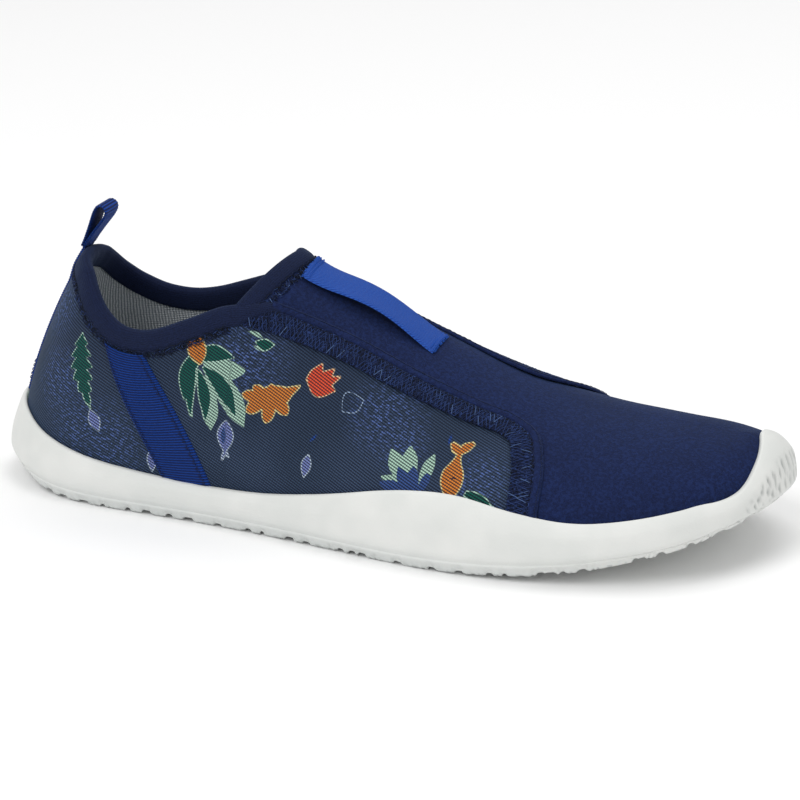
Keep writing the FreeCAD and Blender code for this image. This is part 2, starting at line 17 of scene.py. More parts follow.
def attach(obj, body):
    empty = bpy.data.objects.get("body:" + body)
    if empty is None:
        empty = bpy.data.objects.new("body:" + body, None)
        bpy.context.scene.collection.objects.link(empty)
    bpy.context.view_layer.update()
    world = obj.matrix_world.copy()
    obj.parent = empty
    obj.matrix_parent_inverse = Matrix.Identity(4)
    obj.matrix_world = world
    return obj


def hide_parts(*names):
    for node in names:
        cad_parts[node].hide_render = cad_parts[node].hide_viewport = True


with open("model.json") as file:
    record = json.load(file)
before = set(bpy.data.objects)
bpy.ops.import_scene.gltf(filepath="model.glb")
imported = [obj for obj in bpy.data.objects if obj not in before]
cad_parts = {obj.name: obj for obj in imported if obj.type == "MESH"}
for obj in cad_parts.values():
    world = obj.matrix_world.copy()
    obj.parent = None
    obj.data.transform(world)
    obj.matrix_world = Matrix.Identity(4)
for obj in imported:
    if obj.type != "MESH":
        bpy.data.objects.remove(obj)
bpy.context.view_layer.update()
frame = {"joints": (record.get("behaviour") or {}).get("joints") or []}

MM = 0.001
rng = np.random.default_rng(11)

# ---- the last, as in the CAD source ----
STATIONS, HEEL = 16, 8
# The feather line, where upper and sole meet, as (x, y) from toe to heel on each side.
OUTER_FEATHER = [(131, 8), (120, -19), (96, -37), (61, -45), (20, -43), (-25, -36), (-70, -32),
    (-108, -25.5), (-127, 0)]
INNER_FEATHER = [(131, 8), (123, 29), (98, 42), (61, 45), (20, 38), (-25, 30), (-70, 29.5), (-108, 25.5),
    (-127, 0)]
# The ridge of the instep, the feather line's height and how full the skin bulges, toe to heel.
RIDGE = [(119, 10, 36), (112, 10, 35.6), (90, 9, 37), (60, 8, 42), (21, 7, 56.3), (-22, 4, 78),
    (-50, 1, 101), (-62, 0, 111), (-64, 0, 113)]
FEATHER_HEIGHT = [22, 19, 14, 11, 9, 9, 9, 10, 12]
FULLNESS = [2.6, 2.4, 2.1, 2.0, 2.0, 2.1, 2.1, 1.7, 1.4]
# Heights of the sole's rim and of its tread by x.
RIM = [(-140, 29), (-127, 28), (-120, 26), (-108, 20.9), (-90, 16.6), (-70, 14.4), (-48, 13.3), (-25, 14.2),
    (-2, 18.2), (20, 23.3), (41, 24.9), (61, 21.9), (80, 20), (96, 21.2), (110, 23.4), (119, 25.2),
    (121.5, 28.5), (123, 33), (124, 36.4), (126, 37.2), (140, 37.4)]
TREAD = [(-140, 14), (-127, 8), (-108, 1.5), (-92, 0), (-60, 0), (0, 0), (34, 0), (61, 1.6), (80, 4.2),
    (96, 7.6), (112, 11.4), (125, 15.6), (140, 21)]
# Height of the side panels' top by station: up the instep seam, then along the collar.
OUTER_TOP = [(2.9, 29), (2.95, 33.5), (3.05, 37.5), (3.25, 40.5), (3.5, 43.3), (4, 50.5), (4.5, 59.5),
    (5, 67.5), (5.25, 70), (5.45, 69.5), (5.7, 65), (6, 60.3), (6.25, 60.3), (6.5, 65), (6.75, 71.5),
    (7, 76), (7.5, 78.5), (8, 78)]
INNER_TOP = [(8, 78), (8.5, 75.2), (8.75, 71.5), (9, 66.5), (9.25, 62), (9.5, 58.8), (9.75, 57.7),
    (10, 59.2), (10.25, 63), (10.5, 67.3), (10.7, 70.3), (11, 69.4), (11.5, 62.3), (12, 53.8), (12.5, 46.7),
    (12.75, 43), (12.95, 38.4), (13.05, 33.8), (13.1, 28.4)]
# Height of the rim round the toe by station: a guard that steps up in the middle.
TOE_RIM = [(0, 35.4), (0.15, 35.2), (0.3, 34.2), (0.42, 32.6), (0.55, 30.2), (0.68, 27.2), (0.8, 25.3),
    (1.0, 24.1), (1.4, 23.6)]
TOE_RIM_ENDS, TOE_RIM_BLEND = 1.5, 0.4
FRONT_OUTER, FRONT_INNER = 2.9, 13.1
CORNER_OUTER, CORNER_INNER = 5.36, 10.64
TONGUE_END = 5.17
GAP = 0.12
PANEL = 1.7
LINING = 1.0
LOWEST_H = 0.02


# ---- curves ----
def ease(t):
    """0 to 1 with level ends, held outside that range."""
    t = np.clip(t, 0, 1)
    return t * t * (3 - 2 * t)


def bridge(t, start, end, leave, arrive):
    """The cubic from start to end, t from 0 to 1, with slope leave at the start and arrive at the end."""
    out = start * (1 + 2 * t) * (1 - t) ** 2 + leave * t * (1 - t) ** 2
    return out + end * t * t * (3 - 2 * t) - arrive * t * t * (1 - t)


def loop(values):
    """A smooth closed curve through values at 0, 1, 2 ... that repeats after the last one."""
    values = np.array(values, float)
    count = len(values)
    rise = 3 * (np.roll(values, -1) - np.roll(values, 1))
    one = np.eye(count)
    slopes = np.linalg.solve(4 * one + np.roll(one, 1, 0) + np.roll(one, -1, 0), rise)

    def at(place):
        i = np.floor(place).astype(int)
        a, b = i % count, (i + 1) % count
        return bridge(place - i, values[a], values[b], slopes[a], slopes[b])

    return at


def both_sides(values):
    return loop(values + values[-2:0:-1])


def line_through(points):
    """A smooth open curve through (place, value) points, held outside its range."""
    places, values = np.array([p[:2] for p in points], float).T
    before = np.maximum(np.arange(len(points)) - 1, 0)
    after = np.minimum(np.arange(len(points)) + 1, len(points) - 1)
    slopes = (values[after] - values[before]) / (places[after] - places[before])

    def at(place):
        place = np.clip(place, places[0], places[-1])
        i = np.clip(np.searchsorted(places, place) - 1, 0, len(places) - 2)
        span = places[i + 1] - places[i]
        t = (place - places[i]) / span
        return bridge(t, values[i], values[i + 1], slopes[i] * span, slopes[i + 1] * span)

    return at


def distances(points):
    """Distance travelled along each line of points; the last axis but one runs along a line."""
    steps = np.linalg.norm(np.diff(points, axis=-2), axis=-1)
    return np.concatenate([np.zeros_like(steps[..., :1]), np.cumsum(steps, axis=-1)], -1)


FEATHER = OUTER_FEATHER + INNER_FEATHER[-2:0:-1]
feather_x, feather_y = (loop([p[k] for p in FEATHER]) for k in range(2))
feather_z = both_sides(FEATHER_HEIGHT)
ridge_x, ridge_y, ridge_z = (both_sides([p[k] for p in RIDGE]) for k in range(3))
fullness = both_sides(FULLNESS)
top_z = line_through(OUTER_TOP + INNER_TOP[1:])
rim_side = line_through(RIM)
tread_z = line_through(TREAD)
toe_rim_z = line_through(TOE_RIM)


def bare(s, h):
    """The outer surface of the upper at (s, h), in millimetres."""
    s, h = np.broadcast_arrays(np.asarray(s, float), np.asarray(h, float))
    s = np.where(h > 1, STATIONS - s, s)
    turn = np.where(h > 1, 2 - h, h) * math.pi / 2
    power = 2 / fullness(s)
    inward = 1 - np.maximum(np.cos(turn), 0) ** power
    rise = np.maximum(np.sin(turn), 0) ** power
    x = feather_x(s) + (ridge_x(s) - feather_x(s)) * inward
    y = feather_y(s) + (ridge_y(s) - feather_y(s)) * inward
    z = feather_z(s) + (ridge_z(s) - feather_z(s)) * rise
    return np.stack([x, y, z], -1)


def unit(vectors):
    return vectors / np.maximum(np.linalg.norm(vectors, axis=-1, keepdims=True), 1e-9)


def tangents(s, h):
    """How a place on the skin moves with s and with h."""
    step = 0.01
    low = np.maximum(h - step, 0)
    along = (bare(s + step, h) - bare(s - step, h)) / (2 * step)
    up = (bare(s, h + step) - bare(s, low)) / (h + step - low)[..., None]
    return along, up


def facing(s, h):
    """Unit vectors out of the skin; straight up where the skin has no direction, at the ridge's ends."""
    along, up = tangents(s, h)
    out = np.cross(up, along)
    flat = np.linalg.norm(out, axis=-1, keepdims=True) < 1
    return unit(np.where(flat, [0.0, 0.0, 1.0], out))


def skin(s, h, lift=0.0):
    """Points lift millimetres outside the skin at (s, h)."""
    s, h = np.broadcast_arrays(np.asarray(s, float), np.asarray(h, float))
    return bare(s, h) + facing(s, h) * np.asarray(lift, float)[..., None]


def move(s, h, shift):
    """The (s, h) reached from (s, h) by short steps shift, vectors in millimetres."""
    along, up = tangents(s, h)
    aa, ab, bb = (along * along).sum(-1), (along * up).sum(-1), (up * up).sum(-1)
    sa, sb = (shift * along).sum(-1), (shift * up).sum(-1)
    det = aa * bb - ab * ab
    return s + (sa * bb - sb * ab) / det, h + (sb * aa - sa * ab) / det


def height_to_h(s, z):
    share = np.clip((z - feather_z(s)) / (ridge_z(s) - feather_z(s)), 0, 1)
    return np.arcsin(share ** (fullness(s) / 2)) * 2 / math.pi


def find_rim_h(proud=1.5, samples=400, window=7):
    """The h at which the skin meets the sole's rim, as seen from the side, at stations 0..8."""
    stations = np.linspace(0, HEEL, 161)[:, None]
    h = np.linspace(0.02, 0.98, samples)[None]
    points = skin(stations, h, proud)
    below = points[..., 2] < rim_side(points[..., 0])
    last = samples - 1 - np.argmax(below[:, ::-1], axis=1)
    padded = np.pad(h[0][last], window // 2, mode="reflect")
    smooth = np.convolve(padded, np.ones(window) / window, mode="valid")
    return line_through(list(zip(stations[:, 0], smooth)))


rim_curve = find_rim_h()


def rim_h(s):
    """The h of the sole's rim at any station."""
    s = np.asarray(s, float) % STATIONS
    s = np.minimum(s, STATIONS - s)
    share = ease((TOE_RIM_ENDS - s) / TOE_RIM_BLEND)
    return rim_curve(s) * (1 - share) + height_to_h(s, toe_rim_z(s)) * share


def top_h(s):
    return height_to_h(s, top_z(s))


# ---- seam paths, each a function of w -> (s, h) ----
OUTER_CORNER_H, INNER_CORNER_H = top_h(np.array([CORNER_OUTER, CORNER_INNER]))


def collar_path(w):
    return w, top_h(w)


def tongue_path(w):
    h = (2 - INNER_CORNER_H) + (OUTER_CORNER_H - 2 + INNER_CORNER_H) * w
    share = np.minimum(abs(h - 1) / (1 - OUTER_CORNER_H), 1.2)
    return TONGUE_END + (CORNER_OUTER - TONGUE_END) * share ** 2, h


def measured(places):
    """A path through chosen (s, h) places, with w = 0 .. 1 in step with the distance travelled."""
    s, h = np.array(places, float).T
    travel = distances(bare(s, h))
    s_line, h_line = (line_through(list(zip(travel / travel[-1], values))) for values in (s, h))
    return lambda w: (s_line(w), h_line(w))


def seam_path(stations, foot_station):
    places = [(s, float(top_h(np.array(s)))) for s in stations]
    return measured(places + [(foot_station, float(rim_h(foot_station)) - 0.02)])


def path_length(path, ends):
    return distances(bare(*path(np.linspace(*ends, 200))))[-1]


def beside(path, w, shift):
    """The (s, h) a distance shift to the right of a path at w."""
    step = 0.004
    s, h = path(w)
    ahead = bare(*path(w + step)) - bare(*path(w - step))
    right = unit(np.cross(ahead, facing(s, h)))
    return move(s, h, right * np.asarray(shift)[..., None])


OUTER_SEAM = seam_path([5.36, 5.2, 5, 4.5, 4, 3.5, 3.25, 3.05, 2.95, 2.9], 2.88)
INNER_SEAM = seam_path([10.64, 10.8, 11, 11.5, 12, 12.4, 12.7, 12.9, 13.03, 13.1], 13.12)


def below_collar(drop):
    """The h at each station of the line drop millimetres below the collar's edge."""
    s, h = beside(collar_path, np.linspace(CORNER_OUTER, CORNER_INNER, 120), -drop)
    order = np.argsort(s)
    return line_through(list(zip(s[order], h[order])))


# ---- meshes ----
def add_piece(name, points, faces, material, slot, nodes=(), body="shoe", uv=None, values=None, weld=False):
    """A mesh piece from points in millimetres, riding on a body and standing for its CAD nodes."""
    mesh = bpy.data.meshes.new(name)
    mesh.from_pydata((np.asarray(points) * MM).tolist(), [], [list(face) for face in faces])
    if uv is not None:
        corners = np.zeros(len(mesh.loops), int)
        mesh.loops.foreach_get("vertex_index", corners)
        mesh.uv_layers.new(name="cloth").data.foreach_set("uv", np.asarray(uv, np.float32)[corners].ravel())
    for label, value in (values or {}).items():
        mesh.attributes.new(label, "FLOAT", "POINT").data.foreach_set("value", np.asarray(value, np.float32))
    bm = bmesh.new()
    bm.from_mesh(mesh)
    if weld:
        bmesh.ops.remove_doubles(bm, verts=bm.verts, dist=1e-6)
    bmesh.ops.recalc_face_normals(bm, faces=bm.faces)
    bm.to_mesh(mesh)
    bm.free()
    mesh.shade_smooth()
    mesh.materials.append(material)
    piece = bpy.data.objects.new(name, mesh)
    bpy.context.scene.collection.objects.link(piece)
    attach(piece, body)
    if nodes:
        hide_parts(*nodes)
    return piece


def sheet(outer, inner, keep=None):
    """Points and faces of the closed sheet between two grids; keep says which cells exist."""
    rows, cols = outer.shape[:2]
    keep = np.ones((rows - 1, cols - 1), bool) if keep is None else keep
    number = np.arange(rows * cols).reshape(rows, cols)
    under = rows * cols
    top = np.stack([number[:-1, :-1], number[1:, :-1], number[1:, 1:], number[:-1, 1:]], -1)[keep]
    faces = [top, top[:, ::-1] + under]
    around = np.pad(keep, 1)
    for before, after, start, end in (
            (around[:-1, 1:-1], around[1:, 1:-1], number[:, :-1], number[:, 1:]),
            (around[1:-1, 1:], around[1:-1, :-1], number[:-1], number[1:])):
        for edge, flip in ((after & ~before, False), (before & ~after, True)):
            a, b = (end[edge], start[edge]) if flip else (start[edge], end[edge])
            faces.append(np.stack([a, b, b + under, a + under], -1))
    return np.concatenate([outer.reshape(-1, 3), inner.reshape(-1, 3)]), np.concatenate(faces)


def compact(points, faces):
    """Drops the points that no face uses."""
    used = np.unique(faces)
    renumber = np.full(len(points), -1)
    renumber[used] = np.arange(len(used))
    return points[used], renumber[faces]


def closed_grid(columns):
    """Points and quads of a grid whose first axis runs round and closes on itself."""
    number = np.arange(columns.shape[0] * columns.shape[1]).reshape(columns.shape[:2])
    onward = np.roll(number, -1, axis=0)
    quads = np.stack([number[:, :-1], onward[:, :-1], onward[:, 1:], number[:, 1:]], -1)
    return columns.reshape(-1, 3), quads.reshape(-1, 4)


def flat_uv(along, across):
    """UV in millimetres for the points of a grid."""
    return np.stack(np.broadcast_arrays(along, across), -1).reshape(-1, 2)


def doubled(uv):
    """The same UV for the outer and the inner face of a sheet."""
    return np.concatenate([uv, uv])


def outline(points, count):
    """A smooth closed outline through a few (side, lift) points, as an array."""
    place = np.linspace(0, len(points), count, endpoint=False)
    return np.stack([loop([p[k] for p in points])(place) for k in range(2)], -1)


def bar(points, side):
    """Points, faces and UV of a bar given as rings of points; its ends are capped."""
    number = np.arange(points.shape[0] * points.shape[1]).reshape(points.shape[:2])
    onward = np.roll(number, -1, axis=1)
    quads = np.stack([number[:-1], number[1:], onward[1:], onward[:-1]], -1).reshape(-1, 4)
    faces = quads.tolist() + [number[0].tolist(), number[-1][::-1].tolist()]
    return points.reshape(-1, 3), faces, flat_uv(distances(points.mean(axis=1))[:, None], side)


def swept(path, ends, profile, count, lift=None):
    """A closed bar along a path.  profile is a closed outline of (side, lift) millimetres."""
    w = np.linspace(*ends, count)[:, None]
    side, up = profile[None, :, 0], profile[None, :, 1]
    raised = up + (0 if lift is None else lift(w))
    s, h = beside(path, *np.broadcast_arrays(w, side))
    return bar(skin(s, h, raised), side)


def threads(starts, ends, normals, radius, arch):
    """Short bent threads, one from each start to its end, bowed out along the normals."""
    rings, sides = 5, 5
    t = np.linspace(0, 1, rings)[None, :, None]
    middle = starts[:, None] + (ends - starts)[:, None] * t
    middle = middle + normals[:, None] * (np.asarray(arch).reshape(-1, 1, 1) * np.sin(math.pi * t))
    ahead = unit(ends - starts)
    across = unit(np.cross(ahead, normals))
    up = np.cross(across, ahead)
    angle = np.linspace(0, 2 * math.pi, sides, endpoint=False)[None, None, :, None]
    round_it = np.cos(angle) * across[:, None, None] + np.sin(angle) * up[:, None, None]
    points = middle[:, :, None] + radius * round_it
    number = np.arange(points.size // 3).reshape(points.shape[:3])
    onward = np.roll(number, -1, axis=2)
    quads = np.stack([number[:, :-1], number[:, 1:], onward[:, 1:], onward[:, :-1]], -1).reshape(-1, 4)
    caps = number[:, 0].tolist() + number[:, -1, ::-1].tolist()
    return points.reshape(-1, 3), quads.tolist() + caps, rings * sides


# ---- materials ----
def linear(red, green, blue):
    """A display colour, 0 to 255, as the linear colour that nodes take."""
    shares = (value / 255 for value in (red, green, blue))
    return tuple(v / 12.92 if v <= 10 / 255 else ((v + 0.055) / 1.055) ** 2.4 for v in shares) + (1.0,)


class Shader:
    """A material and short ways to add its nodes.  Inputs are numbers, colours or other nodes' outputs."""

    def __init__(self, name):
        self.material = bpy.data.materials.new(name)
        self.material.use_nodes = True
        self.tree = self.material.node_tree
        self.tree.nodes.clear()
        place = self.add("ShaderNodeTexCoord").outputs["Object"]
        self.mm = self.vector("MULTIPLY", place, (1000, 1000, 1000))

    def add(self, kind, inputs=(), **options):
        node = self.tree.nodes.new(kind)
        for key, value in options.items():
            setattr(node, key, value)
        for key, value in dict(inputs).items():
            if isinstance(value, bpy.types.NodeSocket):
                self.tree.links.new(value, node.inputs[key])
            else:
                node.inputs[key].default_value = value
        return node

    def math(self, operation, a, b=0.0, c=0.0):
        return self.add("ShaderNodeMath", {0: a, 1: b, 2: c}, operation=operation).outputs[0]

    def times(self, a, b):
        return self.math("MULTIPLY", a, b)

    def plus(self, a, b):
        return self.math("ADD", a, b)

    def rest(self, a):
        return self.math("SUBTRACT", 1.0, a)

    def vector(self, operation, a, b=(0, 0, 0)):
        node = self.add("ShaderNodeVectorMath", {0: a, 1: b}, operation=operation)
        return node.outputs["Value" if operation == "DOT_PRODUCT" else "Vector"]

    def part(self, vector, index):
        return self.add("ShaderNodeSeparateXYZ", {0: vector}).outputs[index]

    def mix(self, share, a, b):
        """Mix of two colours, each a node's output or a display colour, 0 to 255."""
        a, b = (linear(*c) if isinstance(c, tuple) else c for c in (a, b))
        return self.add("ShaderNodeMix", {0: share, 6: a, 7: b}, data_type="RGBA").outputs[2]

    def over(self, colour, mask, share, top):
        """The colour with a top colour laid over it, by share where the mask is 1."""
        return self.mix(self.times(mask, share), colour, top)

    def noise(self, scale, detail=2.0, at=None, stretch=(1, 1, 1)):
        """Noise with about scale features per millimetre."""
        spot = self.vector("MULTIPLY", self.mm if at is None else at, tuple(scale * k for k in stretch))
        return self.add("ShaderNodeTexNoise", {"Vector": spot, "Scale": 1.0, "Detail": detail}).outputs[0]

    def field(self, name):
        return self.add("ShaderNodeAttribute", attribute_name=name).outputs["Fac"]

    def cloth(self):
        """Millimetres along and across the piece's own cloth."""
        return self.add("ShaderNodeUVMap", uv_map="cloth").outputs[0]

    def step(self, value, low, high):
        """0 below low, 1 above high and smooth between."""
        node = self.add("ShaderNodeMapRange", {0: value, 1: low, 2: high}, interpolation_type="SMOOTHSTEP")
        return node.outputs[0]

    def fall(self, value, low, high):
        """1 below low, 0 above high and smooth between."""
        return self.step(self.times(value, -1), -high, -low)

    def wave(self, at, direction, pitch, wobble=None):
        """0 to 1 and back every pitch millimetres along a direction."""
        turns = self.math("DIVIDE", self.vector("DOT_PRODUCT", at, direction), pitch / (2 * math.pi))
        if wobble is not None:
            turns = self.plus(turns, wobble)
        return self.math("MULTIPLY_ADD", self.math("SINE", turns), 0.5, 0.5)

    def finish(self, colour, height, depth, roughness=0.9, sheen=0.0, gloss=0.16):
        """Surface with relief depth millimetres deep."""
        bump = self.add("ShaderNodeBump", {"Height": height, "Distance": depth * MM, "Strength": 1.0})
        inputs = {"Base Color": colour, "Roughness": roughness, "Normal": bump.outputs[0],
                  "Sheen Weight": sheen, "Sheen Roughness": 0.45, "Sheen Tint": (0.3, 0.5, 0.9, 1.0),
                  "Specular IOR Level": gloss}
        body = self.add("ShaderNodeBsdfPrincipled", inputs)
        end = self.add("ShaderNodeOutputMaterial")
        self.tree.links.new(body.outputs[0], end.inputs["Surface"])
        return self.material


def make_neoprene():
    m = Shader("neoprene_jersey")
    fine, grain, cloud = m.noise(2.6, 3), m.noise(0.9, 2), m.noise(0.03, 2)
    colour = m.mix(m.step(fine, 0.35, 0.65), (13, 22, 52), (20, 34, 76))
    colour = m.over(colour, m.step(grain, 0.42, 0.66), 0.45, (29, 46, 94))
    colour = m.over(colour, m.step(cloud, 0.4, 0.7), 0.25, (13, 20, 44))
    return m.finish(colour, m.plus(m.times(fine, 0.7), m.times(grain, 0.5)), 0.22, 0.88, 0.1)


def make_binding():
    m = Shader("binding_knit")
    fine, grain = m.noise(3.0, 3), m.noise(1.1, 2)
    rows = m.wave(m.cloth(), (0, 1, 0), 0.7, m.times(grain, 2.0))
    colour = m.mix(m.step(fine, 0.3, 0.7), (11, 17, 38), (21, 31, 62))
    colour = m.over(colour, rows, 0.2, (31, 44, 80))
    return m.finish(colour, m.plus(fine, m.times(rows, 0.3)), 0.18, 0.88, 0.1)


def make_strip():
    m = Shader("overlock_base")
    fine, grain = m.noise(1.9, 3), m.noise(0.8, 2, stretch=(1, 1, 2))
    colour = m.mix(m.step(fine, 0.4, 0.6), (10, 14, 30), (27, 38, 76))
    colour = m.over(colour, m.step(grain, 0.56, 0.66), 0.7, (56, 78, 136))
    return m.finish(colour, fine, 0.3, 0.9, 0.1)


def make_thread():
    """Yarn in four blues; each thread's own tone says which."""
    m = Shader("melange_thread")
    tone, twist = m.field("tone"), m.noise(3.5, 1)
    colour = m.mix(m.step(tone, 0.34, 0.38), (7, 11, 24), (20, 31, 64))
    colour = m.mix(m.step(tone, 0.68, 0.72), colour, (40, 60, 110))
    colour = m.mix(m.step(tone, 0.93, 0.95), colour, (86, 112, 160))
    colour = m.over(colour, twist, 0.4, (10, 14, 30))
    return m.finish(colour, twist, 0.1, 0.7, 0.1)


def make_webbing():
    """Grosgrain with a row of sewn stitches near each edge."""
    m = Shader("grosgrain")
    cloth = m.cloth()
    ribs = m.wave(cloth, (1, 0, 0), RIB)
    yarn = m.noise(2.4, 2, cloth, (1, 3, 1))
    across = m.math("ABSOLUTE", m.part(cloth, 1))
    colour = m.mix(m.step(ribs, 0.15, 0.8), (2, 20, 68), (8, 58, 142))
    colour = m.over(colour, m.step(yarn, 0.45, 0.7), 0.25, (16, 62, 136))
    stitch = m.times(m.step(across, 4.55, 4.8), m.fall(across, 5.15, 5.4))
    stitch = m.times(stitch, m.step(m.wave(cloth, (1, 0, 0), 2.4), 0.35, 0.5))
    colour = m.over(colour, stitch, 0.6, (6, 18, 56))
    return m.finish(colour, m.plus(m.times(ribs, 0.7), m.times(yarn, 0.4)), 0.3, 0.66, 0.03, 0.2)


def make_label():
    m = Shader("woven_label")
    cloth = m.cloth()
    fine = m.wave(cloth, (0.5, 1, 0), 0.7, m.times(m.noise(0.7, 2), 1.5))
    grain = m.noise(1.6, 3, cloth, (1, 3, 1))
    colour = m.mix(fine, (8, 50, 134), (26, 80, 172))
    colour = m.over(colour, m.step(grain, 0.45, 0.7), 0.35, (46, 100, 184))
    return m.finish(colour, m.plus(m.times(fine, 0.5), grain), 0.2, 0.62, 0.03, 0.25)


def make_lining():
    m = Shader("ribbed_lining")
    cloth = m.cloth()
    wobble = m.times(m.noise(0.5, 3), 3.4)
    ribs = m.wave(cloth, (1, 0.2, 0), 1.15, wobble)
    loops = m.wave(cloth, (0, 1, 0), 0.7, wobble)
    colour = m.mix(m.step(ribs, 0.1, 0.8), (150, 157, 164), (226, 231, 233))
    colour = m.over(colour, loops, 0.35, (184, 191, 197))
    colour = m.over(colour, m.step(m.noise(1.8, 3), 0.45, 0.65), 0.35, (160, 167, 174))
    return m.finish(colour, m.plus(ribs, m.times(loops, 0.5)), 0.3, 0.92, 0.1)


def make_rubber():
    """White rubber with painted shade low down, scuffs at the ground and painted shade in pressed marks and
    nicks.
    """
    m = Shader("moulded_rubber")
    up = m.part(m.mm, 2)
    colour = m.mix(m.step(m.noise(0.05, 2), 0.35, 0.7), (216, 218, 215), (224, 225, 222))
    # Painted shade: the lowest 9 mm of the rubber turn greyer, where less light reaches near the ground.
    colour = m.over(colour, m.fall(up, 1.0, 9.0), 0.6, (206, 210, 209))
    # Painted shade in the pressed toe slashes and in the nicks near the ground, read from the pressed
    # attribute.
    colour = m.over(colour, m.field("pressed"), 0.55, (150, 156, 155))
    scuff = m.times(m.fall(up, 0.5, 3.5), m.step(m.noise(0.5, 3), 0.42, 0.68))
    colour = m.over(colour, scuff, 0.6, (184, 188, 186))
    return m.finish(colour, m.noise(1.5, 3), 0.09, 0.55, gloss=0.3)


def make_footbed():
    m = Shader("footbed_textile")
    dots = m.noise(1.2, 2)
    weave = m.wave(m.mm, (1, 0, 0), 1.1, m.times(m.wave(m.mm, (0, 1, 0), 1.1), 3.1))
    colour = m.mix(weave, (50, 56, 66), (96, 104, 114))
    colour = m.over(colour, m.step(dots, 0.5, 0.7), 0.4, (120, 126, 132))
    return m.finish(colour, m.plus(weave, dots), 0.2, 0.95, 0.1)


def make_board():
    m = Shader("fibre_board")
    fibre = m.noise(0.6, 4, stretch=(1, 3, 1))
    return m.finish(m.mix(fibre, (150, 142, 126), (196, 188, 170)), fibre, 0.2, 0.95)


# Inks in the order they are printed: name, fill, rim and the rim's width in millimetres.
INKS = [("mint", (186, 224, 203), (214, 240, 222), 0.0),
    ("lavender", (128, 142, 204), (196, 214, 232), 0.42), ("blue", (62, 90, 152), (150, 172, 214), 0.0),
    ("bright", (34, 76, 156), (34, 76, 156), 0.0), ("green", (16, 92, 78), (190, 228, 208), 0.4),
    ("orange", (226, 136, 54), (240, 226, 160), 0.45), ("red", (236, 88, 54), (244, 206, 160), 0.4),
    ("dark", (30, 36, 56), (30, 36, 56), 0.0)]


def make_print():
    """Diagonal twill printed with motifs, each ink laid over the last by its distance field."""
    m = Shader("printed_twill")
    cloth = m.cloth()
    yarn = m.noise(3.0, 2)
    twill = m.wave(cloth, (-0.42, 0.91, 0), 0.88, m.times(m.noise(1.3, 2), 1.1))
    picks = m.wave(cloth, (0.91, 0.42, 0), 0.8, m.times(yarn, 2.0))
    colour = m.mix(m.step(m.noise(0.03, 2), 0.35, 0.7), (50, 68, 92), (62, 80, 108))
    # Painted shade: the print turns darker towards the top, by height above the ground.
    colour = m.over(colour, m.step(m.part(m.mm, 2), 20, 72), 0.45, (36, 50, 74))
    fleck = m.plus(m.noise(0.75, 2, cloth, (0.8, 1.5, 1)), m.times(yarn, 0.25))
    colour = m.over(colour, m.times(m.step(fleck, 0.63, 0.7), m.field("speckle")), 0.85, (92, 118, 182))
    soft = 0.07
    ragged = m.times(m.math("SUBTRACT", twill, 0.5), 0.16)
    for name, fill, rim, width in INKS:
        distance = m.plus(m.field(name), ragged)
        if width:
            colour = m.mix(m.rest(m.step(distance, width - soft, width + soft)), colour, rim)
        colour = m.mix(m.rest(m.step(distance, -soft, soft)), colour, fill)
    line = m.rest(m.step(m.math("ABSOLUTE", m.field("line")), 0.14, 0.3))
    colour = m.over(colour, line, 0.8, (168, 192, 222))
    colour = m.over(colour, m.rest(m.step(twill, 0.2, 0.75)), 0.86, (12, 17, 34))
    colour = m.over(colour, m.rest(picks), 0.4, (12, 18, 34))
    return m.finish(colour, m.plus(twill, m.times(picks, 0.3)), 0.18, 0.74, 0.1)


RIB = 0.9
neoprene, binding, strip, thread = make_neoprene(), make_binding(), make_strip(), make_thread()
webbing, label_cloth, lining, rubber = make_webbing(), make_label(), make_lining(), make_rubber()
footbed_cloth, board, print_cloth = make_footbed(), make_board(), make_print()


# ---- printed motifs ----
def leaf(width, peak=1.0):
    """Half widths of a leaf, as a function of the share 0..1 of its length."""
    return lambda t: width * np.sin(math.pi * t ** peak)


def toothed(width, teeth, cut=0.45, peak=0.8):
    return lambda t: width * np.sin(math.pi * t ** peak) * (1 - cut * (1 - (t * teeth) % 1.0) ** 1.3)


def oval(width):
    return lambda t: width * np.sqrt(np.clip(1 - (2 * t - 1) ** 2, 0, 1))


def blade(p, start, end, halves, bend=0.0):
    """Rough signed distance to a shape of the given half widths along a line that bends by bend."""
    start, axis = np.array(start, float), np.array(end, float) - np.array(start, float)
    length = math.hypot(*axis)
    axis = axis / length
    t = ((p - start) @ axis) / length
    inside = np.clip(t, 0, 1)
    across = np.abs((p - start) @ np.array([-axis[1], axis[0]]) - bend * 4 * inside * (1 - inside))
    beyond = np.abs(t - inside) * length
    if isinstance(halves, tuple):
        curve = line_through(list(zip(np.linspace(0, 1, len(halves)), halves)))
        halves = lambda share: np.maximum(curve(share), 0)
    side = across - halves(inside)
    return np.where(beyond > 0, np.hypot(beyond, np.maximum(side, 0)), side)


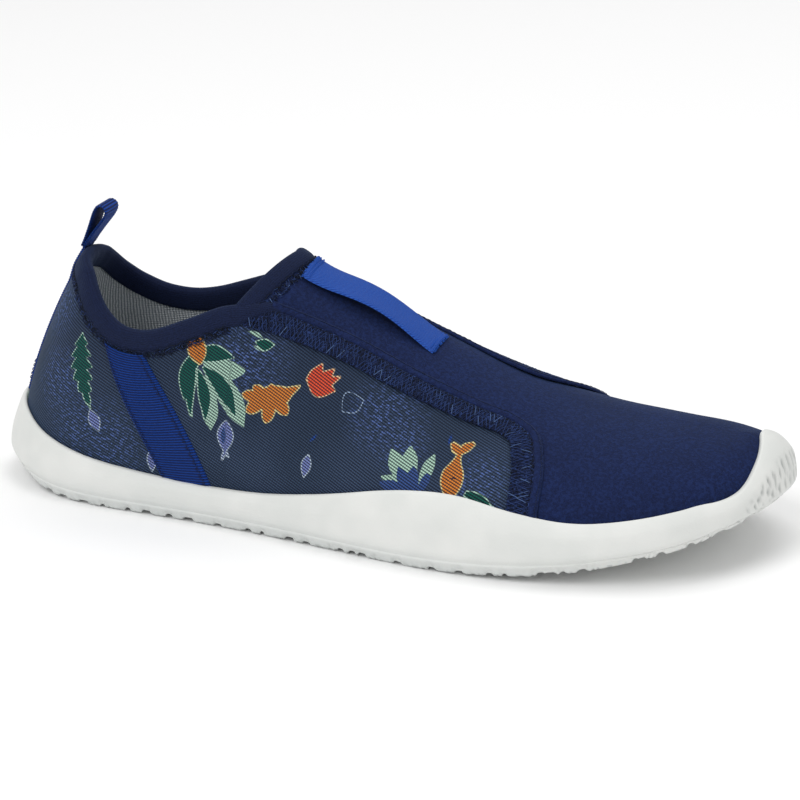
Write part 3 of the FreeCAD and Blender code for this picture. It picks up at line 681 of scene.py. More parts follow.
# Each motif has blades by ink: where a blade starts and ends, its half widths, as evenly spaced
# numbers or a function, and how far it bends sideways.
FERN = {"green": [((-2.2, 12), (2.4, -12), toothed(4.5, 6.4, 0.6), -1.6)],
    "lavender": [((2.3, -12.6), (5.6, -19), leaf(2.0))]}
EGG = {"orange": [((-2.2, 5.2), (1.2, -5.0), (0.6, 1.9, 2.7, 2.9, 2.2, 0.3))],
    "dark": [((-1.2, 1.6), (1.2, 1.9), leaf(0.3), 0.3), ((0.2, -1.8), (0.9, -1.7), leaf(0.35))]}
PALM = {"mint": [((0, 0), (14.6, -1.8), (0.4, 2.6, 3.5, 3.4, 2.6, 0.9), -1.2),
    ((1, -2), (15.6, -19.5), (0.8, 3.0, 3.8, 3.9, 3.2, 0.3), 1.6),
    ((-1.2, -3), (3.9, -22), (0.2, 1.6, 2.6, 3.1, 2.6, 0.1), 1.4),
    ((-3.9, -9), (-2.6, -19), (0.2, 0.8, 0.9, 0.1), -0.6)],
    "green": [((-2, 1.2), (10.6, 2.0), (1.4, 2.3, 2.5, 1.6, 0.1), 1.2),
    ((0.6, -2), (12.6, -16.5), (0.3, 1.7, 2.4, 2.5, 1.4, 0.1), 1.6),
    ((-1.2, -3), (1.9, -19), (0.2, 1.2, 1.9, 1.9, 1.1, 0.1), 1.0),
    ((-1, 2), (-5.6, -13), (1.8, 2.2, 2.2, 1.5, 0.3), -2.2),
    ((-2.6, -1), (-3.4, -18), (0.4, 1.3, 1.4, 1.0, 0.1), -0.8)]}
OAK = {"orange": [((-7.0, -1.4), (7.0, 3.0), oval(3.4)), ((-9.4, 0.9), (-2, 0.3), oval(1.7)),
    ((-7.6, -4.4), (-1.4, 0.4), oval(1.9)), ((-0.8, -7.0), (0.8, 1.0), oval(2.0)),
    ((6.4, -3.6), (1.4, 1.6), oval(2.0)), ((-5.8, 3.9), (-0.6, -0.4), oval(1.8)),
    ((0.0, 5.0), (1.2, -0.6), oval(1.9)), ((3.0, 1.2), (9.4, 5.6), (2.6, 1.9, 1.0, 0.1))]}
TULIP = {"red": [((-4.6, -1), (4.2, -3.4), (0.3, 2.4, 3.0, 2.0, 0.1), -0.4),
    ((-3.4, -1), (-0.8, 5), (2.0, 1.8, 0.1)), ((-1, -1), (3.2, 3.6), (2.2, 1.6, 0.1)),
    ((0, -1.6), (5.4, 1.2), (2.0, 1.2, 0.1))]}
SPRIG = {"green": [((-1.4, -0.6), (4.6, -1.2), leaf(1.7), -0.6)],
    "mint": [((-4.6, 2.6), (1.2, 0.2), leaf(0.75), 0.5), ((-2.4, -1.6), (2.4, -2.4), leaf(0.7), -0.7)]}
DROP = {"lavender": [((0, 6.4), (-0.2, -4), leaf(2.7, 0.9)), ((-0.2, -3.4), (-1.2, -6.6), leaf(0.35)),
    ((-0.2, -3.6), (1.2, -5.2), leaf(0.3))], "blue": [((-0.8, 4.6), (-0.8, -1.8), leaf(0.9))]}
SEED = {"lavender": [((0.6, 3.4), (-0.7, -3.8), leaf(1.5, 0.9))]}
SHELL = {"line": [((-3.6, -1.4), (2.8, 2.8), leaf(3.6), 1.2)],
    "blue": [((-0.8, -3.0), (1.6, 0.2), leaf(0.4), 0.2)]}
FAN = {"mint": [((1, -4.5), (-8.6, 8.5), (0.3, 1.8, 2.6, 2.6, 0.2), 0.5),
    ((2, -4.5), (-2.6, 10.2), (0.3, 1.7, 2.5, 2.6, 0.4), 1.0),
    ((3, -4.5), (5.6, 9), (0.3, 1.2, 1.9, 1.7, 0.1), 0.3),
    ((0, -4.4), (-10.5, -0.4), (0.3, 1.4, 2.0, 1.6, 0.2), -0.6)],
    "blue": [((1, -4.5), (-5.2, 3.2), (0.3, 1.7, 2.3, 1.8, 0.2), 0.3),
    ((2, -4.5), (-0.2, 4.2), (0.3, 1.5, 2.0, 1.7, 0.2), 0.7),
    ((3, -4.5), (5, 2.2), (0.3, 1.0, 1.4, 0.9), 0.1),
    ((0, -5.0), (-10.8, -2.4), (0.3, 1.4, 2.0, 1.7, 0.4), -0.4)]}
FISH = {"orange": [((0.8, 6.4), (-0.6, -8.2), (0.5, 0.7, 1.7, 3.0, 3.3, 2.9, 1.6), -0.4),
    ((0.7, 5.4), (-2.2, 8.6), (0.7, 1.3, 0.5)), ((0.7, 5.6), (4.2, 9.4), (0.6, 1.3, 0.5), 0.3)],
    "dark": [((-1.6, -3.4), (1.2, -3.2), leaf(0.32), 0.4)]}
SLIP = {"green": [((-5, 1.8), (3.4, -1.8), (0.8, 1.5, 1.5, 0.6), 0.4)],
    "mint": [((2.6, -1.6), (5.8, -2.8), (0.8, 1.1, 0.3))]}
DASH = {"bright": [((-1.6, -1.8), (1.6, 1.8), leaf(0.5))]}
DISC = {"mint": [((0, 3.4), (0, -3.4), leaf(3.2, 1.0))], "green": [((1.0, 2.4), (1.0, -2.4), leaf(1.2))]}

# Each motif's station, h and turn in degrees, and each speckled patch's station, h and reach.
OUTER_MOTIFS = [(FERN, 6.57, 0.245, 0), (PALM, 5.53, 0.345, 0), (EGG, 5.58, 0.375, 0), (OAK, 4.98, 0.325, 0),
    (TULIP, 4.62, 0.487, 0), (SPRIG, 5.12, 0.50, 0), (DROP, 5.3, 0.155, 0), (SEED, 4.66, 0.17, 0),
    (SHELL, 4.36, 0.443, 0), (FAN, 3.83, 0.262, 0), (FISH, 3.52, 0.365, 0), (SLIP, 3.27, 0.245, 0),
    (DASH, 4.62, 0.27, 0), (DASH, 3.62, 0.49, 30), (DISC, 7.7, 0.155, 0), (SEED, 5.9, 0.06, 10),
    (SEED, 5.83, 0.42, 70)]
INNER_MOTIFS = [(PALM, 11.9, 0.34, 150), (OAK, 11.05, 0.30, 120), (FERN, 10.05, 0.25, 0),
    (FISH, 12.55, 0.24, 30), (TULIP, 10.6, 0.47, 200), (DROP, 9.35, 0.22, 0), (SEED, 11.45, 0.14, 20),
    (EGG, 10.72, 0.24, 40), (SHELL, 11.35, 0.47, 160), (SPRIG, 11.6, 0.52, 0), (FAN, 10.5, 0.12, 20),
    (SLIP, 12.2, 0.13, 90), (DASH, 9.75, 0.36, 0), (DROP, 12.8, 0.30, 60), (DISC, 8.6, 0.2, 40),
    (OAK, 8.95, 0.44, 60)]
OUTER_SPECKLES = [(5.22, 0.40, 14), (6.27, 0.09, 13), (6.6, 0.12, 10), (4.12, 0.47, 12), (3.98, 0.40, 9),
    (6.87, 0.22, 11), (3.3, 0.34, 10), (7.3, 0.4, 10)]
INNER_SPECKLES = [(11.5, 0.40, 15), (10.3, 0.10, 13), (12.3, 0.42, 11), (9.2, 0.40, 12), (12.7, 0.14, 10),
    (8.5, 0.5, 11)]
FAR, MOTIF_REACH = 9.0, 40


def print_fields(points, motifs, speckles):
    """The distance of every point to the nearest shape of each ink, and the speckle's strength."""
    fields = {name: np.full(len(points), FAR) for name in [ink[0] for ink in INKS] + ["line"]}
    for parts, s, h, turn in motifs:
        centre, out = bare(s, h), facing(s, h)
        up = unit(np.array([0, 0, 1.0]) - out * out[2])
        flat = np.stack([(points - centre) @ np.cross(up, out), (points - centre) @ up], -1)
        cos, sin = math.cos(math.radians(turn)), math.sin(math.radians(turn))
        flat = flat @ np.array([[cos, -sin], [sin, cos]])
        near = np.linalg.norm(points - centre, axis=1) < MOTIF_REACH
        for ink, blades in parts.items():
            for place in blades:
                value, field = np.where(near, blade(flat, *place), FAR), fields[ink]
                closer = np.abs(value) < np.abs(field) if ink == "line" else value < field
                fields[ink] = np.where(closer, value, field)
    strength = np.zeros(len(points))
    for s, h, reach in speckles:
        away = np.linalg.norm(points - bare(s, h), axis=1)
        strength = np.maximum(strength, np.clip(1.3 - away / reach, 0, 1))
    return {**fields, "speckle": strength}


# ---- side panels and their lining ----
panel_floor = below_collar(3.2)


def panel_top(s):
    in_collar = (s > CORNER_OUTER - 0.06) & (s < CORNER_INNER + 0.06)
    return np.where(in_collar, np.minimum(panel_floor(s), top_h(s)), top_h(s))


def add_panel(name, ends, count, rows, low, high, material, slot, nodes, printed=None):
    """A sheet over the stations between ends, from low to high millimetres off the skin."""
    s = np.linspace(*ends, count)[:, None]
    h = LOWEST_H + (panel_top(s) - LOWEST_H) * np.linspace(0, 1, rows)[None]
    outer, inner = skin(s, h, high), skin(s, h, low)
    uv = doubled(flat_uv(distances(outer[:, rows // 2])[:, None], distances(outer)))
    points, faces = sheet(outer, inner)
    fields = print_fields(points, *printed) if printed else None
    add_piece(name, points, faces, material, slot, nodes, uv=uv, values=fields)


BACK_SEAM = 0.004
for side, ends, printed in (("outer", (FRONT_OUTER, HEEL - BACK_SEAM), (OUTER_MOTIFS, OUTER_SPECKLES)),
                            ("inner", (HEEL + BACK_SEAM, FRONT_INNER), (INNER_MOTIFS, INNER_SPECKLES))):
    add_panel("quarter_panel_" + side, ends, 420, 130, -PANEL, 0.0, print_cloth, "printed_fabric",
              ["quarter_" + side], printed)
    add_panel("quarter_lining_" + side, ends, 260, 60, -PANEL - GAP - LINING, -PANEL - GAP, lining, "lining",
              ["lining_" + side])


# ---- vamp ----
def vamp_row(u, v):
    """Place on the neoprene front: u 0 at the toe .. 1 at the tongue, v -1 outer .. 1 inner side."""
    reach = abs(v)
    toe = np.minimum(u / 0.2, 1.0)
    middle_station = 5.3 * np.maximum((u - 0.2) / 0.8, 0) ** 0.8
    middle_h = LOWEST_H + (1 - LOWEST_H) * np.sin(toe * math.pi / 2)
    s = middle_station + (0.9 + 4.4 * u - middle_station) * reach
    h = middle_h + (LOWEST_H - middle_h) * reach ** (2 - toe)
    return np.where(v <= 0, s, STATIONS - s), h


def reach_to_seam(u, sign, samples=1500):
    """How far out a row of the vamp runs before it meets the seam of the side panel."""
    s, h = vamp_row(u[:, None], sign * np.linspace(0, 1, samples)[None])
    inside = (s > FRONT_OUTER) & (s < FRONT_INNER) & (h < top_h(s))
    first = np.where(inside.any(axis=1), inside.argmax(axis=1), samples - 1)
    return sign * first / (samples - 1)


def soft_folds(s, h):
    """Long shallow folds across the vamp, in millimetres of lift."""
    point = bare(s, h)
    x, y = point[..., 0], point[..., 1]
    wide = np.sin(0.055 * x + 0.03 * y + 1.2) * np.sin(0.08 * y + 0.5)
    return 0.35 * wide + 0.12 * np.sin(0.21 * x - 0.11 * y) * np.sin(0.05 * x + 2)


def make_vamp():
    u = np.linspace(0, 1, 300)
    low, high = reach_to_seam(u, -1), reach_to_seam(u, 1)
    s, h = vamp_row(u[:, None], low[:, None] + (high - low)[:, None] * np.linspace(0, 1, 200)[None])
    up = np.where(h > 1, 2 - h, h)
    corner_h = np.where(s > HEEL, INNER_CORNER_H, OUTER_CORNER_H)
    from_edge = np.clip((1 - up) / (1 - corner_h), 0, 1.2)
    tongue_s = TONGUE_END + (CORNER_OUTER - TONGUE_END) * from_edge ** 2
    keep = np.where(s > HEEL, STATIONS - s, s) < tongue_s - 0.07
    keep = keep[:-1, :-1] & keep[1:, 1:] & keep[1:, :-1] & keep[:-1, 1:]
    points, faces = compact(*sheet(skin(s, h, soft_folds(s, h)), skin(s, h, -PANEL), keep))
    add_piece("vamp_panel", points, faces, neoprene, "neoprene", ["vamp"])


make_vamp()


# ---- bindings ----
COLLAR_PROFILE = outline([(-6.4, 0.1), (-5.6, 0.75), (-3.4, 1.0), (-1.2, 0.85), (0.2, 0.1), (0.7, -1.2),
    (0.3, -2.5), (-1.2, -3.4), (-3.8, -3.7), (-6.2, -3.5), (-6.7, -2.8), (-6.0, -2.2), (-6.2, -1.0)], 40)
TONGUE_PROFILE = outline([(-5.8, 0.1), (-5.0, 0.75), (-3.0, 1.0), (-1.0, 0.8), (0.1, 0.1), (0.4, -0.9),
    (-0.4, -1.9), (-2.6, -2.3), (-5.4, -2.2), (-6.2, -1.4), (-5.8, -0.6)], 36)
# Past each corner the roll runs on as a tail that flattens into the fold along the instep seam.
TAIL = 0.42
TAIL_PROFILE = outline([(0.5, 0.9), (0.9, 1.1), (1.7, 1.3), (2.5, 1.2), (3.1, 0.9), (3.3, 0.6), (3.2, 0.35),
    (2.8, 0.2), (2.0, 0.1), (1.2, 0.1), (0.6, 0.2), (0.45, 0.4), (0.4, 0.7)], 40)


def uneven(w):
    """The small waviness of sewn-on soft binding, in millimetres."""
    return 0.05 * np.sin(19 * w) + 0.05 * np.sin(7 * w + 1)


def make_collar_roll():
    w = np.linspace(CORNER_OUTER - TAIL, CORNER_INNER + TAIL, 620)[:, None]
    past = np.clip(np.maximum(CORNER_OUTER + 0.04 - w, w - CORNER_INNER + 0.04) / TAIL, 0, 1)
    flatten, raised, under = ease(past), ease(past / 0.4), np.clip(past / 0.12, 0, 1)
    roll, tail = COLLAR_PROFILE[None], TAIL_PROFILE[None]
    side = roll[..., 0] + (tail[..., 0] - roll[..., 0]) * flatten
    up = np.maximum(roll[..., 1], 0.3 * under - 6 * (1 - under))
    up = up + (tail[..., 1] - up) * flatten + uneven(w) + 0.5 * raised * (1 - flatten)
    s, h = beside(collar_path, *np.broadcast_arrays(w, side))
    points, faces, uv = bar(skin(s, h, up), side)
    add_piece("collar_binding_roll", points, faces, binding, "binding", ["collar_binding"], uv=uv)


make_collar_roll()
points, faces, uv = swept(tongue_path, (-0.02, 1.02), TONGUE_PROFILE, 150, uneven)
add_piece("tongue_binding_roll", points, faces, binding, "binding", ["tongue_binding"], uv=uv)


# ---- seam strips and stitching ----
def flat_profile(low, high, thick, lift=0.15, crown=0.0, count=44):
    """A thin band's cross-section, with rounded edges."""
    middle, half = (low + high) / 2, (high - low) / 2
    turn = np.linspace(0, 2 * math.pi, count, endpoint=False)
    across = np.sign(np.cos(turn)) * np.abs(np.cos(turn)) ** 0.35
    up = np.sign(np.sin(turn)) * np.abs(np.sin(turn)) ** 0.6
    return np.stack([middle + half * across, lift + thick / 2 * (1 + up) + crown * (1 - across ** 2)], -1)


def thread_piece(name, rows, nodes, radius=0.12, material=None, slot="thread"):
    """One piece of many threads.  rows is a list of (starts, ends, normals, arch, tones)."""
    starts, ends, normals, arch, tones = (np.concatenate(group) for group in zip(*rows))
    points, faces, each = threads(starts, ends, normals, radius, arch)
    add_piece(name, points, faces, material or thread, slot, nodes, values={"tone": np.repeat(tones, each)})


def laid(path, w, side, lift):
    s, h = beside(path, w, side)
    return skin(s, h, lift), facing(s, h)


def zigzag(path, ends, low, high, pitch, lift, tones, jitter=0.15):
    """Threads that cross a band back and forth."""
    count = max(int(path_length(path, ends) / pitch), 4)
    w = np.linspace(*ends, count + 1)
    side = np.where(np.arange(count + 1) % 2 == 0, low, high) + rng.normal(0, jitter, count + 1)
    points, out = laid(path, w, side, lift)
    tone = rng.uniform(*tones, count)
    return points[:-1], points[1:], out[:-1], rng.uniform(0.05, 0.2, count), tone


def scattered(path, ends, low, high, per_mm, lift, tones, reach):
    """Short threads lying any way over a band."""
    length = path_length(path, ends)
    count = int(length * per_mm)
    w, side = rng.uniform(*ends, count), rng.uniform(low, high, count)
    way = rng.uniform(0, 2 * math.pi, count)
    long = rng.uniform(*reach, count)
    ahead = np.cos(way) * long * (ends[1] - ends[0]) / length
    aside = np.clip(side + np.sin(way) * long, low - 0.3, high + 0.3)
    a, out = laid(path, w, side, lift)
    b, _ = laid(path, np.clip(w + ahead, min(ends), max(ends)), aside, lift)
    return a, b, out, rng.uniform(0.04, 0.22, count), rng.uniform(*tones, count)


DARK, MELANGE, BRIGHT = (0.0, 0.6), (0.0, 1.0), (0.6, 0.96)


def dive(w):
    """Takes the first stretch of a seam's trim down under the bindings."""
    return -1.2 * np.clip(1 - w / 0.1, 0, 1) ** 2


for side, seam, inward in (("outer", OUTER_SEAM, 1), ("inner", INNER_SEAM, -1)):
    band = sorted((-2.6 * inward, 6.4 * inward))
    points, faces, uv = swept(seam, (0.02, 1), flat_profile(*band, 0.7, crown=0.12), 300, dive)
    add_piece("seam_strip_" + side, points, faces, strip, "strip", ["edge_strip_" + side], uv=uv)
    band = sorted((-3.4 * inward, -0.5 * inward))
    points, faces, uv = swept(seam, (0.085, 1), flat_profile(*band, 1.0, lift=0.1, crown=0.35), 300)
    add_piece("seam_fold_" + side, points, faces, neoprene, "strip")
    rows = [zigzag(seam, (0.08, 1.0), -0.4 * inward, 0.8 * inward, 0.9, 1.0, DARK, 0.1)]
    for start, low, high in ((0.07, 0.0, 3.4), (0.035, 3.0, 6.4)):
        band = sorted((low * inward, high * inward))
        rows.append(scattered(seam, (start, 1.0), *band, 7, 0.9, (0.0, 0.75), (0.8, 2.2)))
        for near, far in ((low, high), (high, low)):
            rows.append(zigzag(seam, (start, 1.0), near * inward, far * inward, 1.25, 1.05, BRIGHT, 0.12))
    rows.append(zigzag(seam, (0.1, 1.0), -2.75 * inward, -2.6 * inward, 1.9, 1.38, (0.35, 0.6), 0.03))
    thread_piece("seam_threads_" + side, rows, ["seam_stitching_" + side])

rows = []
for ends in ((5.42, 7.86), (8.14, 10.58)):
    rows += [zigzag(collar_path, ends, -8.0, -6.4, 0.55, 0.3, DARK, 0.12),
             scattered(collar_path, ends, -8.2, -6.3, 6, 0.35, (0.0, 0.92), (0.6, 1.6)),
             zigzag(collar_path, ends, -6.3, -5.7, 1.3, 0.9, DARK, 0.05)]
thread_piece("collar_threads", rows, ["collar_stitching"])
rows = [zigzag(tongue_path, (0.09, 0.91), -8.0, -6.0, 0.55, 0.35, MELANGE, 0.15),
        scattered(tongue_path, (0.09, 0.91), -8.4, -5.9, 7, 0.4, (0.0, 0.95), (0.6, 1.8)),
        zigzag(tongue_path, (0.06, 0.94), -5.9, -5.3, 1.3, 0.9, DARK, 0.05)]
thread_piece("tongue_threads", rows, ["tongue_stitching"])


# ---- straps, heel tape and pull loop, all of one webbing ----
STRAP_HALF, TAPE_HALF, LOOP_HALF = 6.5, 5.5, 4.8
STRAP_TOP = below_collar(7.2)
STRAP_STATION, STRAP_SLANT = 6.21, 0.64
STRAP_MM_PER_STATION, TAPE_MM_PER_STATION = 33, 30
ACROSS = np.linspace(-1, 1, 26)
MIDDLE = len(ACROSS) // 2
UNDER_RIM = 0.03


def ribs(along, depth=0.11):
    """Cross ribs of grosgrain, in millimetres of lift."""
    return depth * np.cos(2 * math.pi * along / RIB)


def rounded(across, power=12):
    """1 over a band's width, down to 0 at its two edges."""
    return np.sqrt(np.clip(1 - np.abs(across) ** power, 0, 1))


def webbing_band(name, nodes, s, h, half, thick, lift=0.0):
    """Ribbed webbing over a grid of places, columns across it."""
    along = distances(bare(s[:, MIDDLE], h[:, MIDDLE]))[:, None]
    outer = skin(s, h, 0.2 + lift + (thick + ribs(along)) * rounded(ACROSS))
    uv = flat_uv(along, ACROSS * half)
    points, faces = sheet(outer, skin(s, h, 0.05 + lift))
    add_piece(name, points, faces, webbing, "webbing", nodes, uv=doubled(uv))


def stitches(s, h, here, there, lift, arch, tones):
    """Threads from the grid's places here to its places there."""
    count = len(s[here])
    return (skin(s[here], h[here], lift), skin(s[there], h[there], lift), facing(s[here], h[here]),
            np.full(count, arch), rng.uniform(*tones, count))


for side, mirror in (("outer", False), ("inner", True)):
    down = np.linspace(0, 1, 400)[:, None]
    s = STRAP_STATION - STRAP_SLANT * down + ACROSS * STRAP_HALF / STRAP_MM_PER_STATION
    s = STATIONS - s if mirror else s
    high, low = STRAP_TOP(s), rim_h(s) - UNDER_RIM
    h = high + (low - high) * down
    webbing_band("strap_" + side, ["side_strap_" + side], s, h, STRAP_HALF, 0.75)
    spots = np.arange(6, 392, 9)
    rows = [stitches(s, h, (spots, column), (spots + 6, column), 1.12, 0.12, (0.33, 0.6))
            for column in (2, 23)]
    thread_piece("strap_threads_" + side, rows, ["strap_stitching_" + side], 0.13)

# The heel tape runs up the back seam and climbs over the collar binding.
up = np.linspace(0, 1, 460)[:, None]
s = HEEL + ACROSS * TAPE_HALF / TAPE_MM_PER_STATION + 0 * up
low = rim_h(HEEL) - UNDER_RIM
h = low + (top_h(s) + 0.02 - low) * up
webbing_band("heel_tape_band", ["heel_tape"], s, h, TAPE_HALF, 0.8, 1.15 * ease((up - 0.72) / 0.12))
spots = np.arange(3, 21, 3)
rows = [stitches(s, h, (place, spots), (place + 6, spots + 2), 1.2, 0.15, (0.35, 0.9))
        for place in range(60, 120, 12)]
thread_piece("heel_tape_threads", rows, ["heel_tape_stitching"], 0.16)

# The pull loop is webbing folded on itself, leaning forward from its sewn foot.  LOOP_SIDE is half
# of its side view, as (up, out) from the foot to the top of the fold.
LOOP_FOOT = np.array(frame["joints"][0]["pos_m"]) / MM
LOOP_SIDE = [(-2.0, 0.3), (0.5, 0.5), (2.4, 0.75), (5.0, 1.1), (8.0, 1.6), (10.5, 1.95), (12.6, 1.85),
    (13.8, 1.1), (14.1, 0)]
LOOP_HALF_THICK, LOOP_LEAN = 0.42, math.radians(30)


def make_pull_loop():
    half = np.array(LOOP_SIDE, float)
    whole = np.concatenate([half, half[-2::-1] * [1, -1]])
    travel = distances(whole)
    along = np.linspace(0, travel[-1], 420)
    centre = np.stack([line_through(list(zip(travel, whole[:, k])))(along) for k in range(2)], -1)
    ahead = unit(np.gradient(centre, axis=0))
    outward = np.stack([-ahead[:, 1], ahead[:, 0]], -1)
    cos, sin = math.cos(LOOP_LEAN), math.sin(LOOP_LEAN)
    turn = np.array([[cos, 0, sin], [0, 1, 0], [-sin, 0, cos]])
    faces_of_loop = []
    for sign in (1, -1):
        lift = sign * (LOOP_HALF_THICK + ribs(along, 0.09))[:, None] * rounded(ACROSS)[None]
        up, out = np.moveaxis(centre[:, None] + outward[:, None] * lift[..., None], -1, 0)
        y = np.broadcast_to(ACROSS * LOOP_HALF, lift.shape)
        faces_of_loop.append(np.stack([out, y, up], -1) @ turn.T + LOOP_FOOT)
    points, faces = sheet(*faces_of_loop)
    uv = doubled(flat_uv(along[:, None], ACROSS[None] * LOOP_HALF))
    add_piece("pull_loop_webbing", points, faces, webbing, "webbing", ["heel_pull_loop"], "pull_loop", uv)


make_pull_loop()


# ---- label: ribbon sewn down at both ends, arched and narrower between them ----
LABEL_PATH = measured([(5.02, 0.95), (4.7, 0.95), (4.35, 0.95), (3.99, 0.95)])
LABEL_LENGTH = path_length(LABEL_PATH, (0, 1))
LABEL_HALF, LABEL_WAIST = 7.2, 1.3


def make_label_ribbon():
    w = np.linspace(0.012, 0.988, 150)[:, None]
    across = np.linspace(-1, 1, 70)[None]
    half = LABEL_HALF - LABEL_WAIST * np.sin(math.pi * w) ** 1.2
    fray = 0.35 * np.sin(across * 17) * (np.abs(w - 0.5) * 2) ** 30
    ragged_w = w + fray * 0.02 * np.sign(w - 0.5)
    s, h = beside(LABEL_PATH, *np.broadcast_arrays(ragged_w, across * half))
    arch = 0.25 + 1.25 * np.clip(1 - w / 0.25, 0, 1) ** 2 + 3.3 * np.sin(math.pi * w) ** 1.5
    arch = arch + 0.5 * np.sin(math.pi * w) * across ** 2 + 0.12 * np.sin(9 * w + 2 * across)
    points, faces = sheet(skin(s, h, arch + 0.75 * rounded(across, 14)), skin(s, h, arch))
    uv = doubled(flat_uv(w * LABEL_LENGTH, across * half))
    add_piece("label_ribbon", points, faces, label_cloth, "label", ["tongue_label"], uv=uv)


def make_label_threads(tacks=20, fibres=70):
    """Two rows of tacks near each end, and the loose fibres of the two cut ends."""
    rows = []
    for place, lift in ((0.035, 2.15), (0.965, 1.15)):
        for shift in (-0.6, 0.6):
            spots = np.linspace(-6.2, 6.2, tacks)
            where = np.full(tacks, place + shift / LABEL_LENGTH)
            a, out = laid(LABEL_PATH, where, spots - 0.45, lift)
            b, _ = laid(LABEL_PATH, where + 0.5 / LABEL_LENGTH, spots + 0.25, lift)
            rows.append((a, b, out, np.full(tacks, 0.12), rng.uniform(0.5, 0.95, tacks)))
    for end, inside, lift in ((0.0, 0.022, 1.85), (1.0, 0.978, 0.85)):
        spots = rng.uniform(-6.8, 6.8, fibres)
        a, out = laid(LABEL_PATH, np.full(fibres, inside), spots, lift)
        tips = np.clip(end + rng.normal(0, 0.006, fibres), 0, 1)
        b, _ = laid(LABEL_PATH, tips, spots + rng.normal(0, 0.45, fibres), lift - 0.15)
        rows.append((a, b, out, rng.uniform(0.05, 0.3, fibres), rng.uniform(0.5, 0.95, fibres)))
    thread_piece("label_threads", rows, ["label_stitching"], 0.11, label_cloth)


make_label_ribbon()
make_label_threads()


# ---- sole ----
SOLE_COUNT = 1120
sole_s = np.linspace(0, STATIONS, SOLE_COUNT, endpoint=False)
foot_x = np.array([p[0] for p in OUTER_FEATHER[::-1]], float)
foot_z = np.array(FEATHER_HEIGHT[::-1], float)
SPINE_X, SPINE_Y = [-127, -108, -70, -25, 20, 61, 96, 120, 131], [0, 0, -1.25, -3, -2.5, 0, 2.5, 5, 8]


def flat_ring(x, y, z):
    return np.stack(np.broadcast_arrays(x, y, z), -1)


def feather_out(s):
    """Unit vectors out of the feather line, level with the ground."""
    step = 0.01
    along = unit(np.stack([line(s + step) - line(s - step) for line in (feather_x, feather_y)], -1))
    return flat_ring(-along[..., 1], along[..., 0], 0.0)


def offset_ring(s, outward, z):
    return flat_ring(feather_x(s), feather_y(s), z) + feather_out(s) * outward


def middle_x(s, heel, toe):
    return np.clip((feather_x(s) + feather_x(STATIONS - s)) / 2, heel, toe)


def fan(middle, edge, shares):
    """Points from a middle line out to an edge, by share."""
    return middle[:, None] + (edge - middle)[:, None] * shares[None, :, None]


# Cross grooves of the tread as (x, slant, width), spaced unevenly from heel to toe.
cross_grooves, x = [], -131.0
while x < 138:
    x += rng.choice([5.2, 6.1, 7.4, 9.0])
    cross_grooves.append((x, rng.uniform(-0.10, 0.10), rng.uniform(1.1, 1.9)))
LONG_GROOVES = (-24.0, -11.0, 2.0, 15.0, 27.0)


def groove_depth(x, y):
    """How deep the tread is cut at (x, y): cross grooves between small lugs, and lengthwise ones."""
    depth = np.zeros(np.broadcast(x, y).shape)
    for at, slant, width in cross_grooves:
        away = np.abs(x - at - slant * y - 1.2 * np.sin(0.12 * y + at))
        depth = np.maximum(depth, np.clip((width - away) / 0.55, 0, 1) * (1.5 + 0.2 * math.sin(at)))
    for at in LONG_GROOVES:
        away = np.abs(y - at - 1.6 * np.sin(0.045 * x + at))
        depth = np.maximum(depth, np.clip((1.0 - away) / 0.5, 0, 1) * 1.4)
    return depth


def through_rings(rings, per_span=4):
    """Columns that pass smoothly through a list of rings."""
    rings = np.array(rings)
    slopes = np.zeros_like(rings)
    slopes[1:-1] = (rings[2:] - rings[:-2]) / 2
    slopes[0], slopes[-1] = rings[1] - rings[0], rings[-1] - rings[-2]
    columns = [bridge(t, rings[i], rings[i + 1], slopes[i], slopes[i + 1])
               for i in range(len(rings) - 1) for t in np.linspace(0, 1, per_span, endpoint=False)]
    return np.stack(columns + [rings[-1]], 1)


def toe_slashes(wall, above, rim, travelled):
    """Where short slashes are pressed into the toe guard: rows slanted one way, then the other."""
    z = wall[..., 2]
    signed = np.where(travelled > travelled[-1] / 2, travelled - travelled[-1], travelled)
    row = z / 3.6
    way = np.where(np.floor(row) % 2 == 0, 1.0, -0.6)
    along = (signed + way * 0.9 * z) / 3.3
    slash = np.clip((0.2 - np.abs(along % 1 - 0.5)) / 0.1, 0, 1)
    slash = slash * np.clip((0.4 - np.abs(row % 1 - 0.5)) / 0.08, 0, 1)
    from_toe = np.minimum(sole_s, STATIONS - sole_s)[:, None]
    zone = np.clip((0.85 - from_toe) / 0.15, 0, 1) * np.clip((above - 3.5) / 1.5, 0, 1)
    zone = zone * np.clip((bare(sole_s, rim)[:, None, 2] - 3.5 - z) / 1.5, 0, 1)
    return slash * zone * (np.arange(wall.shape[1]) < 36)


